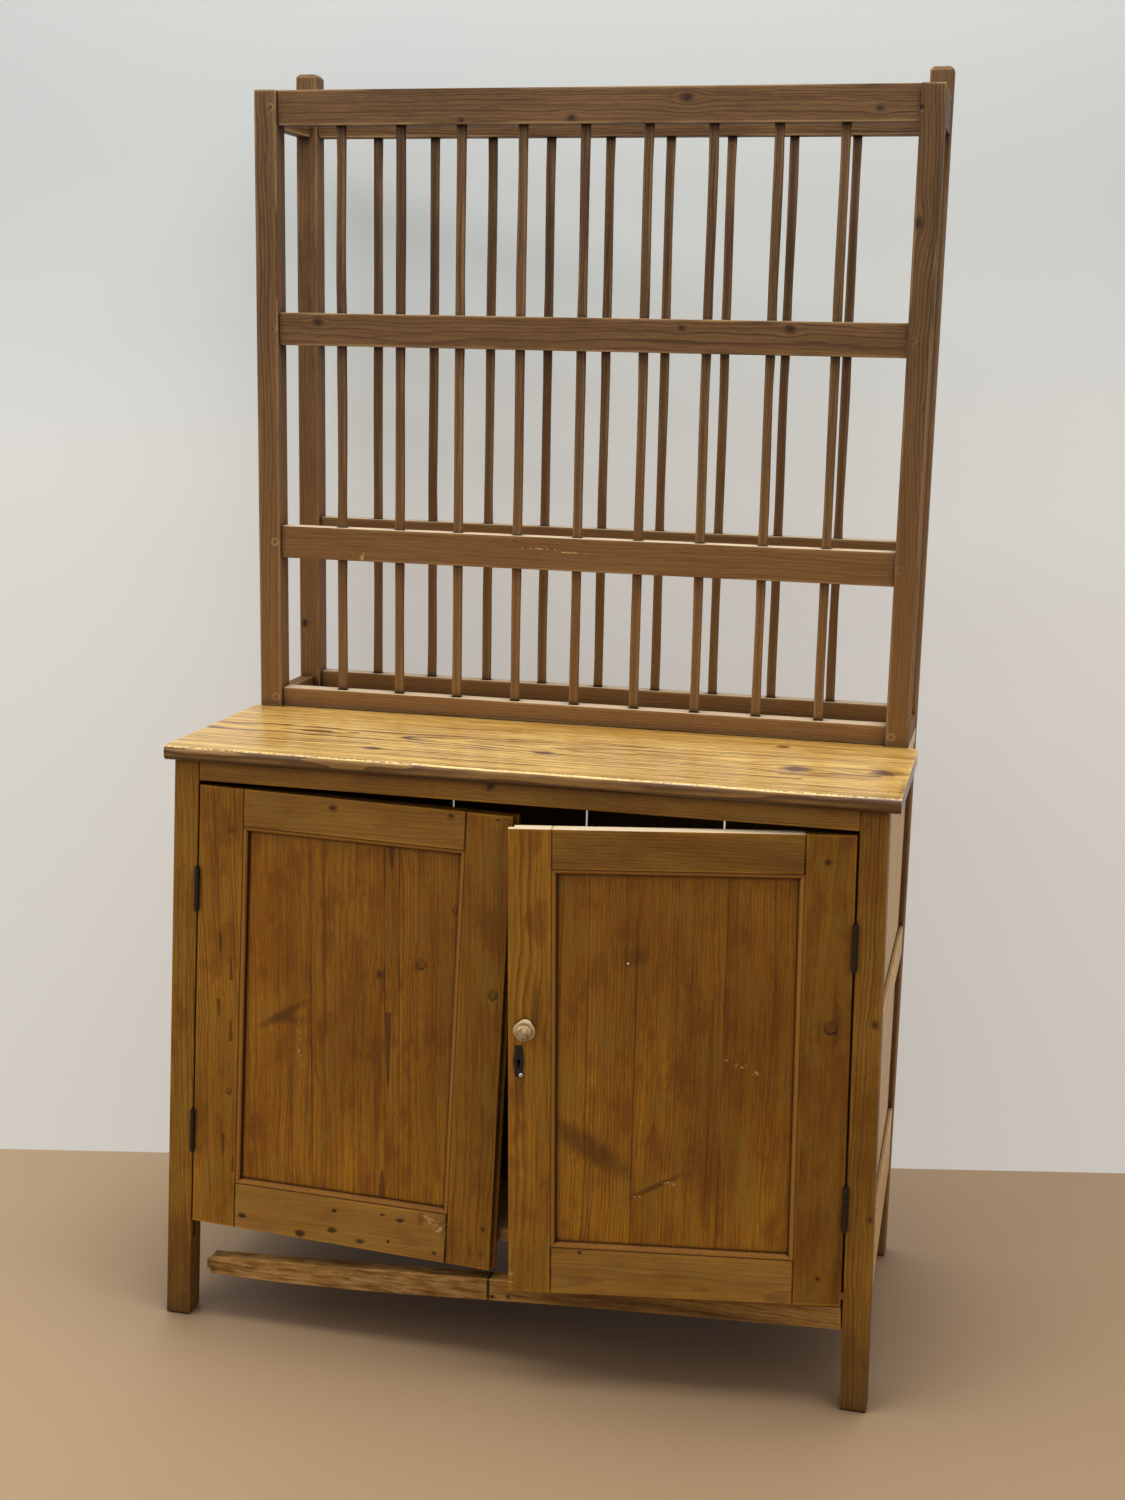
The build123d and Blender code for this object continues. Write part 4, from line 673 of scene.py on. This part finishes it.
UNWORN = ("rack_pegs", "left_door_bead", "right_door_bead")
for number, (node, look) in enumerate(WOOD.items()):
    worn = 0.0 if node in UNWORN else 0.0012 if look["look"] in BROWN else 0.0010
    dress(node, wood(f"wood_{node}", seed=11 + 3.1 * number, **look), worn)

iron_plain = iron("iron_leaves")
for node in ("left_door_hinge_leaves", "left_door_hinge_screws", "right_door_hinge_leaves", "right_door_hinge_screws",
             "post_hinge_leaves", "post_hinge_screws", "lock_case", "lock_bolt"):
    dress(node, iron_plain)
dress("escutcheon", iron("iron_escutcheon", 300.0), 0.0003)


# ---- slats --------------------------------------------------------------------------------------
def tubes(name, parts):
    """An object of closed tubes, each drawn through its rings of points."""
    points, faces = [], []
    for rings in parts:
        base, count = len(points), len(rings[0])
        points += [point for ring in rings for point in ring]
        faces += [tuple(reversed(range(base, base + count))), tuple(range(len(points) - count, len(points)))]
        for row in range(len(rings) - 1):
            for i in range(count):
                a, b = base + row * count + i, base + row * count + (i + 1) % count
                faces.append((a, b, b + count, a + count))
    mesh = bpy.data.meshes.new(name)
    mesh.from_pydata(points, [], faces)
    mesh.polygons.foreach_set("use_smooth", [len(p.vertices) == 4 for p in mesh.polygons])
    piece = bpy.data.objects.new(name, mesh)
    bpy.context.scene.collection.objects.link(piece)
    return piece


SLATS, SLAT_WIDTH, SLAT_THICKNESS = 9, 0.014, 0.012
SLAT_CORNERS, SLAT_STEPS = 16, 44
HELD = 0.965  # of its full size, where a slat sits in a mortise
CLEAR = 0.05  # how far from a rail a slat wanders fully


def slats(name, node, rails, seed, tint):
    """Nine whittled slats: their thickness and line wander between the rails that hold them."""
    low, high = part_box(node)
    held = [(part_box(rail)[0].z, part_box(rail)[1].z) for rail in rails]
    randomly = random.Random(seed)
    middles = [low.x + SLAT_WIDTH / 2 + i * (high.x - low.x - SLAT_WIDTH) / (SLATS - 1) for i in range(SLATS)]
    y = (low.y + high.y) / 2
    corners = []
    for i in range(SLAT_CORNERS):
        angle = 2 * math.pi * i / SLAT_CORNERS
        c, s = math.cos(angle), math.sin(angle)
        corners.append((math.copysign(abs(c) ** 0.42, c), math.copysign(abs(s) ** 0.42, s)))
    parts = []
    for middle in middles:
        waves = [(randomly.uniform(5, 17), randomly.uniform(0, 6.3), randomly.uniform(0.3, 1.0)) for _ in range(8)]
        rings = []
        for k in range(SLAT_STEPS + 1):
            z = low.z + (high.z - low.z) * k / SLAT_STEPS
            free = min([1.0] + [max(0.0, (abs(z - (a + b) / 2) - (b - a) / 2)) / CLEAR for a, b in held])
            wave = [math.sin(w * z + p) * s for w, p, s in waves]
            dx = 0.0006 * free * (wave[0] + 0.6 * wave[1])
            dy = 0.0007 * free * wave[2]
            w = SLAT_WIDTH / 2 * (HELD - free * (0.03 + 0.055 * wave[3] + 0.03 * wave[4]))
            t = SLAT_THICKNESS / 2 * (HELD - free * (0.02 + 0.04 * wave[5]))
            twist = 0.06 * free * wave[6]
            rings.append([(middle + dx + w * cx - t * cy * twist, y + dy + t * cy + w * cx * twist, z)
                          for cx, cy in corners])
        parts.append(rings)
    piece = tubes(name, parts)
    piece.data.materials.append(wood(f"wood_{name}", "rack", "z", seed, pith=(-0.7, y + 0.5), ring=0.0040,
                                     pitch=(middles[0], middles[1] - middles[0]), tint=tint))
    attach(piece, "carcass")
    return piece


def grille(side):
    return [f"rack_{side}_{level}_rail" for level in ("top", "upper", "lower", "bottom")]


front_slats = slats("whittled_front_slats", "rack_front_slats", grille("front"), 5, 0.92)
rear_slats = slats("whittled_rear_slats", "rack_rear_slats", grille("rear"), 8, 0.85)
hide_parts("rack_front_slats")
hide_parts("rack_rear_slats")


# ---- nail heads and the knob --------------------------------------------------------------------
def lathe(name, profile, centre, towards, material, body, segments=20):
    """A small round piece: profile is (radius, height) from its foot, standing on centre."""
    towards = Vector(towards).normalized()
    side = towards.orthogonal().normalized()
    other = towards.cross(side)
    angles = [2 * math.pi * i / segments for i in range(segments)]
    rings = [[tuple(Vector(centre) + towards * height + (side * math.cos(a) + other * math.sin(a)) * radius)
              for a in angles] for radius, height in profile]
    piece = tubes(name, [rings])
    piece.data.materials.append(material)
    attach(piece, body)
    return piece


def on_right_door(x, y, z):
    """A point given on the shut right door, where the door stands."""
    return DOOR_PIN + AJAR @ (Vector((x, y, z)) - DOOR_PIN)


dome = [(0.0034, -0.0006), (0.0034, 0.0003), (0.0031, 0.0011), (0.0024, 0.0019), (0.0013, 0.0024),
        (0.0003, 0.00255)]
flat_head = [(0.0026, -0.0006), (0.0026, 0.0003), (0.0022, 0.0008), (0.0010, 0.0010), (0.0002, 0.00105)]
pin_head = [(radius * 0.62, height * 0.7) for radius, height in dome]
rubbed = bright_iron("rubbed_nail")
outward = tuple(AJAR @ Vector((0, -1, 0)))
PLATE, FIELD = post_front - 0.0012, post_front + 0.009  # fronts of the escutcheon and of the door's panel
for name, profile, place, material in (
        ("escutcheon_lower_nail", dome, (0.0345, PLATE, 0.4665), rubbed),
        ("escutcheon_upper_nail", flat_head, (0.0345, PLATE, 0.4985), iron_plain),
        ("panel_pin", pin_head, (0.1756, FIELD, 0.6285), rubbed)):
    lathe(name, profile, on_right_door(*place), outward, material, "right_door")

# The knob has worn loose: it droops, and sits a little lower and nearer the door's edge than a sound one.
KNOB_X, KNOB_DROP, KNOB_DROOP = 0.0393, 0.0036, math.radians(11)
knob_low, knob_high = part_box("door_knob")
knob_middle = (knob_low + knob_high) / 2
knob_foot = on_right_door(KNOB_X, post_front, knob_middle.z - KNOB_DROP)
knob_axis = Vector(outward) * math.cos(KNOB_DROOP) - Vector((0, 0, 1)) * math.sin(KNOB_DROOP)
knob_profile = [
    (0.0098, -0.0020), (0.0100, 0.0008), (0.0096, 0.0024), (0.0082, 0.0038), (0.0072, 0.0052), (0.0072, 0.0072),
    (0.0086, 0.0090), (0.0116, 0.0104), (0.0138, 0.0116), (0.0149, 0.0132), (0.0150, 0.0144), (0.0145, 0.0154),
    (0.0137, 0.0157), (0.0124, 0.0152), (0.0110, 0.0147), (0.0101, 0.0148), (0.0096, 0.0158), (0.0094, 0.0185),
    (0.0094, 0.0230), (0.0090, 0.0262), (0.0080, 0.0284), (0.0060, 0.0294), (0.0034, 0.0298), (0.0004, 0.0299)]
knob_wood = turned_wood("knob_wood", knob_foot, knob_axis)
knob = lathe("worn_knob", knob_profile, knob_foot, knob_axis, knob_wood, "right_door", 40)
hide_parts("door_knob")

# ---- camera, as fitted to the photograph --------------------------------------------------------
PHOTO_WIDTH, FOCAL_LENGTH = 1125, 1926.04  # in the photograph's pixels
SENSOR = 36
EYE = (0.664593, post_front - 2.4567, 1.435388)
yaw, pitch, roll = 0.23684, -0.20611, 0.02077
right = Vector((math.cos(yaw), math.sin(yaw), 0))
forward = Vector((-math.sin(yaw) * math.cos(pitch), math.cos(yaw) * math.cos(pitch), math.sin(pitch)))
up = right.cross(forward)
right, up = math.cos(roll) * right + math.sin(roll) * up, -math.sin(roll) * right + math.cos(roll) * up
camera_data = bpy.data.cameras.new("camera")
camera_data.sensor_fit, camera_data.sensor_width = "HORIZONTAL", SENSOR
camera_data.lens = SENSOR * FOCAL_LENGTH / PHOTO_WIDTH
camera = bpy.data.objects.new("camera", camera_data)
camera.matrix_world = Matrix(((right.x, up.x, -forward.x, EYE[0]), (right.y, up.y, -forward.y, EYE[1]),
                              (right.z, up.z, -forward.z, EYE[2]), (0, 0, 0, 1)))
bpy.context.scene.collection.objects.link(camera)
bpy.context.scene.camera = camera


# ---- floor, backdrop and light ------------------------------------------------------------------
def sheet(name, corners, darker, colour, rough):
    """A flat piece of the stage. Its colour drifts, as painted shading, from the darker tone at the right to the
    other at the left.
    """
    mesh = bpy.data.meshes.new(name)
    mesh.from_pydata(corners, [], [(0, 1, 2, 3)])
    piece = bpy.data.objects.new(name, mesh)
    material, net, shader = fresh(name)
    point = net.point()
    soft = net.add(net.mul(net.noise(point, 1.3, 2.0), 0.3), net.step(net.split(point)[0], 1.3, -1.3, 0.0, 0.7))
    tone = net.mix(soft, linear(darker), linear(colour))
    # The floor is darkened under and around the cupboard: a painted shadow.
    if name == "floor":
        tone = net.over(tone, net.step(net.occlusion(0.45), 0.95, 0.25, 0.0, 0.75), "shadow under the cupboard")
    net.put(shader.inputs["Base Color"], tone)
    shader.inputs["Roughness"].default_value = rough
    mesh.materials.append(material)
    bpy.context.scene.collection.objects.link(piece)
    return piece, net, shader


sheet("floor", [(-7, -6, 0), (8, -6, 0), (8, 7, 0), (-7, 7, 0)], (160, 130, 95), (188, 159, 122), 0.6)

# The wall stands askew behind the cupboard. It has a painted glow, an emission that is stronger and warmer
# towards the floor, so that it looks evenly lit. It has a front only and lets light through from behind, so that
# the back of the cupboard can be seen and is lit.
SLOPE, WALL_Y, WALL_TOP = 424 / 1776, post_front + 0.507, 2.6
low_end, high_end = WALL_Y - SLOPE * 4.1, WALL_Y + SLOPE * 6.9
corners = [(-5, low_end, 0), (6, high_end, 0), (6, high_end, WALL_TOP), (-5, low_end, WALL_TOP)]
backdrop, net, shader = sheet("backdrop", corners, (182, 179, 175), (172, 175, 174), 0.8)
level = net.split(net.point())[2]
painted_glow = net.mix(net.step(level, 1.0, 1.9), (1.0, 0.955, 0.88, 1.0), (0.84, 0.97, 1.0, 1.0))
net.put(shader.inputs["Emission Color"], painted_glow)
net.put(shader.inputs["Emission Strength"], net.step(level, 1.15, 1.90, 0.35, 0.17))
behind = net.tree.nodes.new("ShaderNodeNewGeometry").outputs["Backfacing"]
clear = net.tree.nodes.new("ShaderNodeBsdfTransparent")
either = net.tree.nodes.new("ShaderNodeMixShader")
for socket, value in zip(either.inputs, (behind, shader.outputs[0], clear.outputs[0])):
    net.put(socket, value)
net.put(net.tree.nodes["Material Output"].inputs["Surface"], either.outputs[0])
backdrop.visible_shadow = backdrop.visible_diffuse = False


def lamp(name, place, aim, size, power, colour):
    data = bpy.data.lights.new(name, "AREA")
    data.shape, data.size, data.size_y = "RECTANGLE", *size
    data.energy, data.color = power, colour
    light = bpy.data.objects.new(name, data)
    light.location = place
    light.rotation_euler = (Vector(aim) - Vector(place)).to_track_quat("-Z", "Y").to_euler()
    bpy.context.scene.collection.objects.link(light)


lamp("ceiling", (0.2, -0.55, 3.3), (0.1, 0.05, 0.0), (2.6, 1.3), 58, (1.0, 0.99, 0.96))
lamp("window", (-2.6, -3.0, 2.4), (0.0, 0.0, 0.8), (1.8, 1.8), 22, (0.96, 0.98, 1.0))

# The sky is brighter overhead.
world = bpy.data.worlds.new("world")
bpy.context.scene.world = world
world.use_nodes = True
sky = Net(world.node_tree)
background = world.node_tree.nodes["Background"]
height = sky.split(world.node_tree.nodes.new("ShaderNodeTexCoord").outputs["Generated"])[2]
background.inputs["Color"].default_value = (0.95, 0.97, 1.0, 1.0)
sky.put(background.inputs["Strength"], sky.step(height, -0.3, 0.8, 0.30, 0.75))
bpy.context.scene.view_settings.view_transform = "Standard"

bpy.context.view_layer.update()
